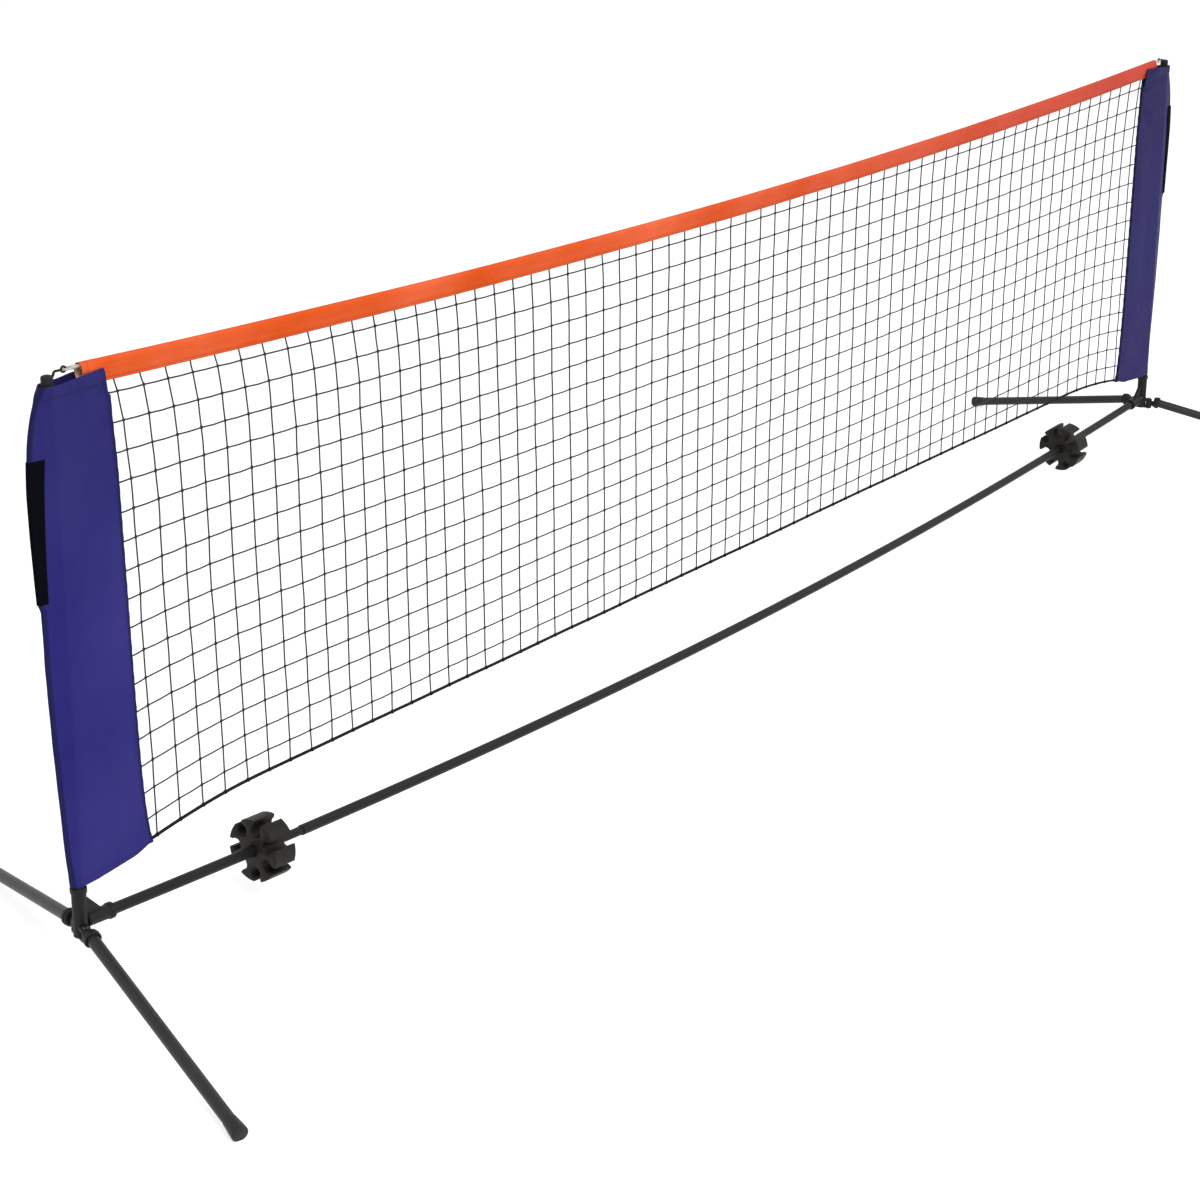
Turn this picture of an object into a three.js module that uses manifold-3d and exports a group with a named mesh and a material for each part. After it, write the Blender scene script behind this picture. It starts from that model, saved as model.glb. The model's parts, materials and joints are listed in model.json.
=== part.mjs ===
// A portable frame net for pickleball and other racket games, in millimetres with +Z up.
// Two hubs stand on four swivelling legs.  They hold the posts and are joined by a ground bar
// of five plugged tubes, which the pull of the net bends down in the middle.  The net hangs
// from a rope in a folded tape, and slips over the posts by a cloth sleeve at each end.
// The origin is on the ground midway between the posts: +X runs along the net, +Y across it.

import * as THREE from "three";
import * as BufferGeometryUtils from "three/addons/utils/BufferGeometryUtils.js";
import Module from "manifold-3d";

const wasm = await Module();
wasm.setup();

// ---------------------------------------------------------------- driving dimensions

const FIT = 0.3; // gap all round between pieces that touch

// Frame
const SPAN = 3100; // between the post axes, at the hubs
const HUB_HEIGHT = 106.5; // bar axis above the ground, at the hubs
const BAR_DIP = 59; // how much lower the bar hangs midway
const POST_TOP = 851; // top of the post tube above the ground
const POST_LEAN = 21; // how far the top of a post leans inwards

// Tubes: the posts and the bar are cut from one stock, and the legs from a thicker one
const TUBE_RADIUS = 8;
const LEG_RADIUS = 9;
const TUBE_WALL = 1;
const SPIGOT_WALL = 1.2;
const SPIGOT_LENGTH = 60; // plugged into the next tube
const COLLAR_LENGTH = 8; // shoulder that a spigot grows out of
const LONG_TUBE = 755; // each of the three middle bar tubes
const EXPOSED_SPIGOT = 52; // left end tube only: its joint stands part open

// Hubs
const SOCKET_WALL = 1.9;
const RING_WALL = 3.3; // thickened mouth of a socket
const RING_LENGTH = 8;
const POST_SOCKET_HEIGHT = 52.5; // above the bar axis
const POST_SOCKET_DEPTH = 6; // how far a post reaches below the bar axis
const HUB_FOOT = 21; // how far the hub reaches below the bar axis
const BAR_SOCKET_LENGTH = 55;
const BAR_STOP_WALL = 3.4; // between the post and the end of the bar
const GUSSET_THICKNESS = 6;
const GUSSET_REACH = 38;
const GUSSET_RISE = 38;

// Leg hinges: each leg swings on its own upright pin
const PIVOT_OFFSET = 17; // from the post axis
const LUG_TURN = THREE.MathUtils.degToRad(18); // lugs turned about the post, outwards at the front
const HINGE_DROP = 11; // middle of the hinge below the bar axis
const TONGUE_THICKNESS = 9.4;
const TONGUE_RADIUS = 6.2;
const LUG_RADIUS = 7;
const LUG_THICKNESS = 5;
const PIN_RADIUS = 2.5;
const PIN_HEAD_RADIUS = 4.5;
const PIN_HEAD_HEIGHT = 2;
const LEG_SOCKET_START = 10.4;
const LEG_SOCKET_LENGTH = 13;
const LEG_SOCKET_WEB = 3; // solid wall behind the leg tube

// Legs
const LEG_REACH = 443; // post axis to the middle of a foot, level
const LEG_ROOT_DROP = 1; // leg axis below the bar axis, at the post axis
const FOOT_HEIGHT = 9.5; // leg axis above the ground, at the foot
const FOOT_CAP_LENGTH = 28;
const FOOT_CAP_END = 6; // solid end of a foot cap
const FOOT_CAP_RADIUS = 11.6;
const FOOT_CAP_MOUTH_WALL = 1.1;
const FOOT_CAP_MOUTH_LENGTH = 9; // straight part at the mouth
const FOOT_CAP_CHAMFER = 1;

// Storage clips: drums on the bar with pockets that hold the tubes when the net is packed
const CLIP_RADIUS = 47.5;
const CLIP_LENGTH = 42;
const CLIP_POCKETS = 7;
const CLIP_POCKET_RADIUS = 9.7;
const CLIP_POCKET_CENTRE = 33;
const CLIP_MOUTH = 14.4; // width of a pocket's mouth
const CLIP_PLAY = 0.6; // all round the bar, for it slides and turns

// Net
const NET_TOP = 872; // top edge of the tape, carried out to the post axes
const NET_SAG = 38;
const NET_COLUMNS = 30;
const NET_ROWS = 7;
const NET_STRAND = 2.6;
const NET_THICKNESS = 2.4;
const TAPE_HEIGHT = 31;
const TAPE_NOSE_RADIUS = 4.4;
const TAPE_HEM_RADIUS = 1.2;
const ROPE_RADIUS = 2.2;
const ROPE_SHOWING = 10; // bare rope between its end loop and the tape
const LOOP_RADIUS = 5; // of the rope's end loop and of the hook's eye
const LOOP_WIRE_RADIUS = 1.7;
const CORD_RADIUS = 2.6;
const CORD_HEIGHT = 199;
const CORD_END_DROP = 22; // how far the cord falls towards the sleeves
const CORD_END_LENGTH = 245; // over this stretch beside each sleeve

// Sleeves
const SLEEVE_WIDTH = 125; // seam with the mesh to the post axis, at the hub
const SLEEVE_CLOTH = 1.2;
const SLEEVE_POST_RADIUS = 10.3; // outside of the cloth round the post
const SLEEVE_SEAM_RADIUS = 2; // half the thickness at the seam
const SLEEVE_EDGE_RADIUS = 2.4; // half the thickness at the outer edge
const SLEEVE_EDGE_MIN = 13; // outer edge beyond the post axis, at both ends
const SLEEVE_EDGE_BULGE = 36; // and how much further it would stand with no shoulder
const SLEEVE_EDGE_SPREAD = 0.8; // power that shapes the bulge upwards: lower is fuller
const SLEEVE_EDGE_SHOULDER = 12; // power that shapes it near the top: higher is squarer
const SLEEVE_SEAM_BOTTOM = 174;
const SLEEVE_SEAM_TOP = 822;
const SLEEVE_CORNER_SLOPE = 2; // of its cut-off corner, from the seam up to the tape
const SLEEVE_TOP = 847;
const SLEEVE_LEVELS = 8;
const STRIP_LOW = 570; // hook-and-loop strip on the outer edge
const STRIP_HIGH = 760;
const STRIP_WIDTH = 16;
const STRIP_THICKNESS = 1.2;

// Post caps
const CAP_RADIUS = 8.7;
const CAP_BAND = 8; // upright part of the cap
const CAP_DOME = 6;
const CAP_PLUG_LENGTH = 20;
const HOOK_REACH = 27; // post axis to the middle of the hook's eye
const HOOK_RUN = 3; // the hook's wire runs level for this far at each end
const HOOK_WIRE_RADIUS = 1.8;

// Smoothness
const SIDES_OF_TUBE = 16; // tubes and the bores that they fit
const SIDES_OF_BODY = 12; // moulded bodies round them
const SIDES_OF_WIRE = 8; // pins, wires, rope and cord
const BAR_STEPS = 4;
const TAPE_STEPS = 12;
const CORD_STEPS = 16;
const DROP_STEPS = 10; // where the mesh follows the cord down
const HOOK_STEPS = 6;
const DOME_STEPS = 3;
const SETTLING_PASSES = 4; // of a sleeve's outline, whose ends depend on its width

// Each clip's distance from the post axis, and how far it is turned on the bar in degrees.
const SIDES = [
  { name: "left", sign: -1, clipFromPost: 339, clipTurn: -12 },
  { name: "right", sign: 1, clipFromPost: 360, clipTurn: 18 },
];

// Plan angle of each leg, in degrees outwards from square to the net.
const LEGS = [
  { name: "left_front", side: -1, across: -1, splay: 16 },
  { name: "left_rear", side: -1, across: 1, splay: -19 },
  { name: "right_front", side: 1, across: -1, splay: 19.5 },
  { name: "right_rear", side: 1, across: 1, splay: 4 },
];

// ---------------------------------------------------------------- derived sizes

const TURN = 2 * Math.PI;
const BORE_RADIUS = TUBE_RADIUS + FIT;
const LEG_BORE_RADIUS = LEG_RADIUS + FIT;
const TUBE_BORE = TUBE_RADIUS - TUBE_WALL;
const SPIGOT_RADIUS = TUBE_BORE - FIT;
const BAR_START = BORE_RADIUS + BAR_STOP_WALL;
const HINGE_HEIGHT = HUB_HEIGHT - HINGE_DROP;
const LUG_GAP = TONGUE_THICKNESS + 2 * FIT;
const LEG_LENGTH = LEG_REACH - PIVOT_OFFSET;
const LEG_FALL = (HUB_HEIGHT - LEG_ROOT_DROP - FOOT_HEIGHT) / LEG_REACH;
const SLEEVE_INNER = SPAN / 2 - SLEEVE_WIDTH;
const CORD_STRAIGHT = SLEEVE_INNER - CORD_END_LENGTH;
const HOOK_EYE = SPAN / 2 - POST_LEAN - HOOK_REACH; // from the middle of the net
const TAPE_HALF_LENGTH = HOOK_EYE - 2 * LOOP_RADIUS - LOOP_WIRE_RADIUS - ROPE_SHOWING;
const CUT_PAST = 10; // how far a cutting body runs past what it cuts

/** Height of the bent ground bar's axis at x. */
const barHeight = (x) => HUB_HEIGHT - BAR_DIP * (1 - (x / (SPAN / 2)) ** 2);

/** Height of the tape's top edge at x. */
const tapeTop = (x) => NET_TOP - NET_SAG * (1 - (x / (SPAN / 2)) ** 2);

const ropeHeight = (x) => tapeTop(x) - TAPE_NOSE_RADIUS;
const tapeBottom = (x) => tapeTop(x) - TAPE_HEIGHT;

/** Height of the bottom cord's axis at x: level, then falling to the sleeves' lower corners. */
function cordHeight(x) {
  const beyond = Math.max(0, Math.abs(x) - CORD_STRAIGHT) / (SLEEVE_INNER - CORD_STRAIGHT);
  return CORD_HEIGHT - CORD_END_DROP * beyond ** 2;
}

/** Distance of a post's axis from the middle of the net at height z. */
function postDistance(z) {
  return SPAN / 2 - (POST_LEAN * (z - HUB_HEIGHT)) / (POST_TOP - HUB_HEIGHT);
}

const postPoint = (sign, z) => new THREE.Vector3(sign * postDistance(z), 0, z);

/** A plane curve along the net that follows a height function. */
class NetwiseCurve extends THREE.Curve {
  constructor(from, to, height) {
    super();
    this.from = from;
    this.to = to;
    this.height = height;
  }

  getPoint(t, target = new THREE.Vector3()) {
    const x = THREE.MathUtils.lerp(this.from, this.to, t);
    return target.set(x, 0, this.height(x));
  }
}

// ---------------------------------------------------------------- materials

const finish = (color, roughness, metalness = 0) => ({ color, roughness, metalness });
const POWDER_COAT = finish(0x3c3c3c, 0.45, 0.3);
const BAR_COAT = finish(0x2d2d2d, 0.45, 0.3);
const MOULDED = finish(0x2d2d2f, 0.55);
const CLIP_PLASTIC = finish(0x33302b, 0.6);
const RIVET_STEEL = finish(0x55565a, 0.35, 0.9);
const BLUE_CLOTH = finish(0x352f7e, 0.85);
const ORANGE_TAPE = finish(0xe25f30, 0.6);
const WHITE_ROPE = finish(0xf0efe4, 0.8);
const BLACK_CORD = finish(0x26262a, 0.8);
const NET_THREAD = finish(0x4a4a4e, 0.8);
const BLACK_STRIP = finish(0x101119, 0.9);

const net = new THREE.Group();
net.name = "portable_net";

function addMesh(parent, name, geometry, look) {
  const mesh = new THREE.Mesh(geometry, new THREE.MeshStandardMaterial(look));
  mesh.name = name;
  parent.add(mesh);
}

// ---------------------------------------------------------------- solids

/** A manifold solid from a closed three.js geometry. */
function solid(geometry) {
  const bare = geometry.clone();
  bare.deleteAttribute("normal");
  bare.deleteAttribute("uv");
  const merged = BufferGeometryUtils.mergeVertices(bare, 1e-4);
  const mesh = new wasm.Mesh({
    numProp: 3,
    vertProperties: new Float32Array(merged.attributes.position.array),
    triVerts: new Uint32Array(merged.index.array),
  });
  return new wasm.Manifold(mesh);
}

/** A three.js geometry from a manifold solid. */
function toGeometry(manifold) {
  const mesh = manifold.getMesh();
  const geometry = new THREE.BufferGeometry();
  const position = new THREE.BufferAttribute(new Float32Array(mesh.vertProperties), 3);
  geometry.setAttribute("position", position);
  geometry.setIndex(new THREE.BufferAttribute(new Uint32Array(mesh.triVerts), 1));
  return geometry;
}

/** The pieces, each a geometry, joined into one solid. */
const joined = (...geometries) => geometries.map(solid).reduce((whole, part) => whole.add(part));

/** A whole less each of the cutters. */
const without = (whole, ...cutters) => cutters.reduce((left, cut) => left.subtract(solid(cut)), whole);

/** A round shape, with a round hole where inner is given. */
function disc(outer, inner = 0) {
  const shape = new THREE.Shape();
  shape.absarc(0, 0, outer, 0, TURN);
  if (inner > 0) {
    shape.holes.push(new THREE.Path().absarc(0, 0, inner, 0, TURN, true));
  }
  return shape;
}

/** Turns a geometry built along +Z so that it starts at from and points to to. */
function aim(geometry, from, to) {
  const direction = to.clone().sub(from).normalize();
  const turn = new THREE.Quaternion().setFromUnitVectors(new THREE.Vector3(0, 0, 1), direction);
  geometry.applyQuaternion(turn);
  geometry.translate(from.x, from.y, from.z);
  return geometry;
}

/** Extruding options: whole circles in the shape get this many sides, and arcs as many. */
const extrusion = (sides, options) => ({ ...options, curveSegments: sides / 2, bevelEnabled: false });

/** A straight rod or tube between two points. */
function rod(from, to, outer, inner = 0, sides = SIDES_OF_TUBE) {
  const options = extrusion(sides, { depth: from.distanceTo(to) });
  return aim(new THREE.ExtrudeGeometry(disc(outer, inner), options), from, to);
}

/** A moulded body round the line between two points. */
const barrel = (from, to, radius) => rod(from, to, radius, 0, SIDES_OF_BODY);

/** A shape swept along a curve. */
function sweep(shape, path, steps, sides = SIDES_OF_WIRE) {
  return new THREE.ExtrudeGeometry(shape, extrusion(sides, { extrudePath: path, steps }));
}

/** A plate drawn on (x, y) and standing from the height low up to high. */
function plate(shape, low, high) {
  const options = extrusion(SIDES_OF_WIRE, { depth: high - low });
  const geometry = new THREE.ExtrudeGeometry(shape, options);
  geometry.translate(0, 0, low);
  return geometry;
}

/** A closed ring of wire, lying level. */
const wireRing = () =>
  new THREE.TorusGeometry(LOOP_RADIUS, LOOP_WIRE_RADIUS, SIDES_OF_WIRE, SIDES_OF_BODY);

/** A panel drawn on (x, z) and centred on the plane of the net. */
function upright(shape, thickness) {
  const geometry = new THREE.ExtrudeGeometry(shape, { depth: thickness, bevelEnabled: false });
  geometry.rotateX(Math.PI / 2);
  geometry.translate(0, thickness / 2, 0);
  return geometry;
}

/** Two circles and their common tangents: the first at the origin, the second along +y. */
function teardrop(first, second, distance) {
  const lean = Math.asin((first - second) / distance);
  const shape = new THREE.Shape();
  shape.absarc(0, distance, second, lean, Math.PI - lean);
  shape.absarc(0, 0, first, Math.PI - lean, TURN + lean);
  return shape;
}

// ---------------------------------------------------------------- hubs

/** Where a leg's rivet stands, front (across -1) or rear, for the lugs are turned about the post. */
const pivotPoint = (sign, across) =>
  new THREE.Vector3(
    sign * (SPAN / 2 - across * PIVOT_OFFSET * Math.sin(LUG_TURN)),
    across * PIVOT_OFFSET * Math.cos(LUG_TURN),
    0,
  );

/** A lug plate before it is turned: a bar with round ends about (0, +-PIVOT_OFFSET). */
function lugShape() {
  const shape = new THREE.Shape();
  shape.absarc(0, PIVOT_OFFSET, LUG_RADIUS, 0, Math.PI);
  shape.absarc(0, -PIVOT_OFFSET, LUG_RADIUS, Math.PI, TURN);
  return shape;
}

function gusset(sign) {
  const axis = sign * (SPAN / 2);
  const shape = new THREE.Shape();
  shape.moveTo(axis, HUB_HEIGHT);
  shape.lineTo(axis - sign * GUSSET_REACH, HUB_HEIGHT);
  shape.lineTo(axis - sign * GUSSET_REACH, HUB_HEIGHT + TUBE_RADIUS);
  shape.lineTo(axis - sign * BORE_RADIUS, HUB_HEIGHT + GUSSET_RISE);
  shape.lineTo(axis, HUB_HEIGHT + GUSSET_RISE);
  return upright(shape, GUSSET_THICKNESS);
}

/** A point on the tangent of the bar at its end, at a distance from the post axis. */
function barSocketPoint(sign, distance) {
  const slope = (2 * BAR_DIP) / (SPAN / 2);
  return new THREE.Vector3(sign * (SPAN / 2 - distance), 0, HUB_HEIGHT - slope * distance);
}

function hub(sign) {
  const lipTop = HUB_HEIGHT + POST_SOCKET_HEIGHT;
  const mouth = BAR_SOCKET_LENGTH - RING_LENGTH;
  const socketRadius = BORE_RADIUS + SOCKET_WALL;
  const ringRadius = BORE_RADIUS + RING_WALL;
  const body = joined(
    barrel(postPoint(sign, HUB_HEIGHT - HUB_FOOT), postPoint(sign, lipTop), socketRadius),
    barrel(postPoint(sign, lipTop - RING_LENGTH), postPoint(sign, lipTop), ringRadius),
    barrel(barSocketPoint(sign, 0), barSocketPoint(sign, BAR_SOCKET_LENGTH), socketRadius),
    barrel(barSocketPoint(sign, mouth), barSocketPoint(sign, BAR_SOCKET_LENGTH), ringRadius),
    gusset(sign),
  );
  const lugs = [-1, 1].map((way) => {
    const inner = HINGE_HEIGHT + (way * LUG_GAP) / 2;
    const outer = inner + way * LUG_THICKNESS;
    const lug = plate(lugShape(), Math.min(inner, outer), Math.max(inner, outer));
    lug.rotateZ(sign * LUG_TURN);
    lug.translate(sign * (SPAN / 2), 0, 0);
    return lug;
  });
  const postBore = rod(
    postPoint(sign, HUB_HEIGHT - POST_SOCKET_DEPTH),
    postPoint(sign, lipTop + RING_LENGTH),
    BORE_RADIUS,
  );
  const barBore = rod(
    barSocketPoint(sign, BAR_START),
    barSocketPoint(sign, BAR_SOCKET_LENGTH + RING_LENGTH),
    BORE_RADIUS,
  );
  const pinHoles = [-1, 1].map((across) => {
    const place = pivotPoint(sign, across);
    return rod(place, place.clone().setZ(HUB_HEIGHT), PIN_RADIUS + FIT, 0, SIDES_OF_WIRE);
  });
  const whole = lugs.map(solid).reduce((left, lug) => left.add(lug), body);
  return toGeometry(without(whole, postBore, barBore, ...pinHoles));
}

// ---------------------------------------------------------------- posts

const postTube = (sign) =>
  rod(
    postPoint(sign, HUB_HEIGHT - POST_SOCKET_DEPTH + FIT),
    postPoint(sign, POST_TOP),
    TUBE_RADIUS,
    TUBE_BORE,
  );

/** Middle of the hook's eye, level with the rope. */
const hookEye = (sign) => new THREE.Vector3(sign * HOOK_EYE, 0, ropeHeight(HOOK_EYE));

/** A plug in the top of the post, a domed head, and a wire hook that ends in an eye. */
function postCap(sign) {
  const dome = Array.from({ length: DOME_STEPS }, (_, step) => {
    const angle = ((step / DOME_STEPS) * Math.PI) / 2;
    const height = CAP_BAND + CAP_DOME * Math.sin(angle);
    return new THREE.Vector2(CAP_RADIUS * Math.cos(angle), height);
  });
  const profile = [
    new THREE.Vector2(0, -CAP_PLUG_LENGTH),
    new THREE.Vector2(TUBE_BORE - FIT, -CAP_PLUG_LENGTH),
    new THREE.Vector2(TUBE_BORE - FIT, FIT),
    new THREE.Vector2(CAP_RADIUS, FIT),
    ...dome,
    new THREE.Vector2(0, CAP_BAND + CAP_DOME),
  ];
  const head = new THREE.LatheGeometry(profile, SIDES_OF_BODY);
  head.rotateX(Math.PI / 2);
  aim(head, postPoint(sign, POST_TOP), postPoint(sign, POST_TOP + CAP_BAND));
  const eye = hookEye(sign);
  const root = postPoint(sign, POST_TOP + CAP_BAND / 2);
  const inward = new THREE.Vector3(-sign, 0, 0);
  const arm = new THREE.CatmullRomCurve3([
    root.clone().addScaledVector(inward, CAP_RADIUS / 2),
    root.clone().addScaledVector(inward, CAP_RADIUS + HOOK_RUN),
    eye.clone().addScaledVector(inward, -LOOP_RADIUS - HOOK_RUN),
    eye.clone().addScaledVector(inward, -LOOP_RADIUS),
  ]);
  const ring = wireRing().rotateX(Math.PI / 2).translate(eye.x, eye.y, eye.z);
  return toGeometry(joined(head, sweep(disc(HOOK_WIRE_RADIUS), arm, HOOK_STEPS), ring));
}

// ---------------------------------------------------------------- ground bar

/** A round length on the bar's bent axis, between two places along the net. */
const barLength = (from, to, radius, steps = 1) =>
  sweep(disc(radius), new NetwiseCurve(from, to, barHeight), steps, SIDES_OF_TUBE);

/** A bar tube, with a plugged spigot at its right-hand end where it has one. */
function barTube({ from, to, spigotTo }) {
  if (spigotTo === undefined) {
    const bore = barLength(from - CUT_PAST, to + CUT_PAST, TUBE_BORE, BAR_STEPS);
    return toGeometry(without(solid(barLength(from, to, TUBE_RADIUS, BAR_STEPS)), bore));
  }
  const collar = to - COLLAR_LENGTH;
  const outside = joined(
    barLength(from, to, TUBE_RADIUS, BAR_STEPS),
    barLength(collar, spigotTo, SPIGOT_RADIUS),
  );
  const bore = barLength(from - CUT_PAST, collar, TUBE_BORE, BAR_STEPS);
  const spigotBore = barLength(collar - TUBE_WALL, spigotTo + CUT_PAST, SPIGOT_RADIUS - SPIGOT_WALL);
  return toGeometry(without(outside, bore, spigotBore));
}

/** The five tubes from left to right: the joints are LONG_TUBE apart, evenly about the middle. */
function barTubes() {
  const joints = [-1.5, -0.5, 0.5, 1.5].map((count) => count * LONG_TUBE);
  const ends = [-(SPAN / 2 - BAR_START - FIT), ...joints, SPAN / 2 - BAR_START - FIT];
  const names = ["left_end", "left_middle", "centre", "right_middle", "right_end"];
  return names.map((name, index) => {
    const last = index === names.length - 1;
    const exposed = index === 0 ? EXPOSED_SPIGOT : FIT;
    return {
      name: `bar_${name}_tube`,
      from: ends[index],
      to: last ? ends[index + 1] : ends[index + 1] - exposed,
      spigotTo: last ? undefined : ends[index + 1] + SPIGOT_LENGTH,
    };
  });
}

// ---------------------------------------------------------------- legs

/** A point on a leg's axis, in the frame of its hinge with +X along the leg. */
const legPoint = (reach) =>
  new THREE.Vector3(reach, 0, HUB_HEIGHT - LEG_ROOT_DROP - LEG_FALL * (PIVOT_OFFSET + reach));

/** The hinged socket: a tongue between the lugs, and a sloping socket with a thick mouth. */
function legSocket() {
  const end = LEG_SOCKET_START + LEG_SOCKET_LENGTH;
  const tongueShape = new THREE.Shape();
  tongueShape.absarc(0, 0, TONGUE_RADIUS, Math.PI / 2, 1.5 * Math.PI);
  tongueShape.lineTo(LEG_SOCKET_START + LEG_SOCKET_WEB, -TONGUE_RADIUS);
  tongueShape.lineTo(LEG_SOCKET_START + LEG_SOCKET_WEB, TONGUE_RADIUS);
  const low = HINGE_HEIGHT - TONGUE_THICKNESS / 2;
  const tongue = plate(tongueShape, low, low + TONGUE_THICKNESS);
  const body = barrel(legPoint(LEG_SOCKET_START), legPoint(end), LEG_BORE_RADIUS + SOCKET_WALL);
  const mouth = legPoint(end - RING_LENGTH);
  const ring = barrel(mouth, legPoint(end), LEG_BORE_RADIUS + RING_WALL);
  const bore = rod(
    legPoint(LEG_SOCKET_START + LEG_SOCKET_WEB),
    legPoint(end + RING_LENGTH),
    LEG_BORE_RADIUS,
  );
  const pinHole = rod(
    new THREE.Vector3(0, 0, 0),
    new THREE.Vector3(0, 0, HUB_HEIGHT),
    PIN_RADIUS + FIT,
    0,
    SIDES_OF_WIRE,
  );
  return toGeometry(without(joined(tongue, body, ring), bore, pinHole));
}

const legTube = () =>
  rod(
    legPoint(LEG_SOCKET_START + LEG_SOCKET_WEB + FIT),
    legPoint(LEG_LENGTH - FOOT_CAP_END - FIT),
    LEG_RADIUS,
    LEG_RADIUS - TUBE_WALL,
  );

/** A flared cap on the end of a leg, cut flat where it stands on the ground. */
function footCap() {
  const depth = FOOT_CAP_LENGTH;
  const profile = [
    new THREE.Vector2(0, FOOT_CAP_END),
    new THREE.Vector2(LEG_BORE_RADIUS, FOOT_CAP_END),
    new THREE.Vector2(LEG_BORE_RADIUS, depth),
    new THREE.Vector2(LEG_BORE_RADIUS + FOOT_CAP_MOUTH_WALL, depth),
    new THREE.Vector2(LEG_BORE_RADIUS + FOOT_CAP_MOUTH_WALL, depth - FOOT_CAP_MOUTH_LENGTH),
    new THREE.Vector2(FOOT_CAP_RADIUS, FOOT_CAP_END / 2),
    new THREE.Vector2(FOOT_CAP_RADIUS - FOOT_CAP_CHAMFER, 0),
    new THREE.Vector2(0, 0),
  ];
  const cap = new THREE.LatheGeometry(profile.reverse(), SIDES_OF_TUBE);
  cap.rotateX(Math.PI / 2);
  aim(cap, legPoint(LEG_LENGTH), legPoint(0));
  const ground = new THREE.BoxGeometry(LEG_REACH, LEG_REACH, LEG_REACH);
  ground.translate(LEG_LENGTH, 0, -LEG_REACH / 2);
  return toGeometry(without(solid(cap), ground));
}

/** The rivet that a leg swings on, with a head above and below the lugs. */
function hingePin() {
  const seat = LUG_GAP / 2 + LUG_THICKNESS + FIT;
  const profile = [
    new THREE.Vector2(0, -seat - PIN_HEAD_HEIGHT),
    new THREE.Vector2(PIN_HEAD_RADIUS, -seat - PIN_HEAD_HEIGHT),
    new THREE.Vector2(PIN_HEAD_RADIUS, -seat),
    new THREE.Vector2(PIN_RADIUS, -seat),
    new THREE.Vector2(PIN_RADIUS, seat),
    new THREE.Vector2(PIN_HEAD_RADIUS, seat),
    new THREE.Vector2(PIN_HEAD_RADIUS, seat + PIN_HEAD_HEIGHT),
    new THREE.Vector2(0, seat + PIN_HEAD_HEIGHT),
  ];
  const pin = new THREE.LatheGeometry(profile, SIDES_OF_WIRE);
  pin.rotateX(Math.PI / 2);
  pin.translate(0, 0, HINGE_HEIGHT);
  return pin;
}

// ---------------------------------------------------------------- storage clips

/** A drum with open pockets round its rim and a bore for the bar. */
function clipShape() {
  const half = CLIP_MOUTH / 2;
  const lipAngle = Math.asin(half / CLIP_RADIUS);
  const lipInPocket = Math.asin(half / CLIP_POCKET_RADIUS);
  const pitch = TURN / CLIP_POCKETS;
  const shape = new THREE.Shape();
  for (let pocket = 0; pocket < CLIP_POCKETS; pocket += 1) {
    const middle = pocket * pitch;
    const x = CLIP_POCKET_CENTRE * Math.cos(middle);
    const y = CLIP_POCKET_CENTRE * Math.sin(middle);
    const into = middle - lipInPocket;
    const out = middle + lipInPocket;
    shape.absarc(x, y, CLIP_POCKET_RADIUS, into, out - TURN, true);
    shape.absarc(0, 0, CLIP_RADIUS, middle + lipAngle, middle + pitch - lipAngle);
  }
  shape.closePath();
  shape.holes.push(new THREE.Path().absarc(0, 0, TUBE_RADIUS + CLIP_PLAY, 0, TURN, true));
  return shape;
}

function storageClip() {
  const options = extrusion(SIDES_OF_BODY, { depth: CLIP_LENGTH });
  const clip = new THREE.ExtrudeGeometry(clipShape(), options);
  clip.translate(0, 0, -CLIP_LENGTH / 2);
  clip.rotateY(Math.PI / 2);
  return clip;
}

/** A group on the bar at x, with its local +X along the bar. */
function barStation(x, turn) {
  const station = new THREE.Group();
  const slope = (2 * BAR_DIP * x) / (SPAN / 2) ** 2;
  station.position.set(x, 0, barHeight(x));
  station.rotation.set(THREE.MathUtils.degToRad(turn), -Math.atan(slope), 0, "YXZ");
  return station;
}

// ---------------------------------------------------------------- net

/** Lower and upper limits of the mesh panel at x. */
const meshLow = (x) => cordHeight(x) + CORD_RADIUS + FIT;
const meshHigh = (x) => tapeBottom(x) - FIT;

/** The four-sided gap of the mesh between two places along the net, in one row. */
function meshGap(left, right, row) {
  const inset = NET_STRAND / 2;
  const corner = (x, edge, shift) => {
    const z = THREE.MathUtils.lerp(meshLow(x) + inset, meshHigh(x) - inset, edge / NET_ROWS);
    return new THREE.Vector2(x, z + shift);
  };
  return new THREE.Shape([
    corner(left, row, inset),
    corner(right, row, inset),
    corner(right, row + 1, -inset),
    corner(left, row + 1, -inset),
  ]);
}

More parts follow.
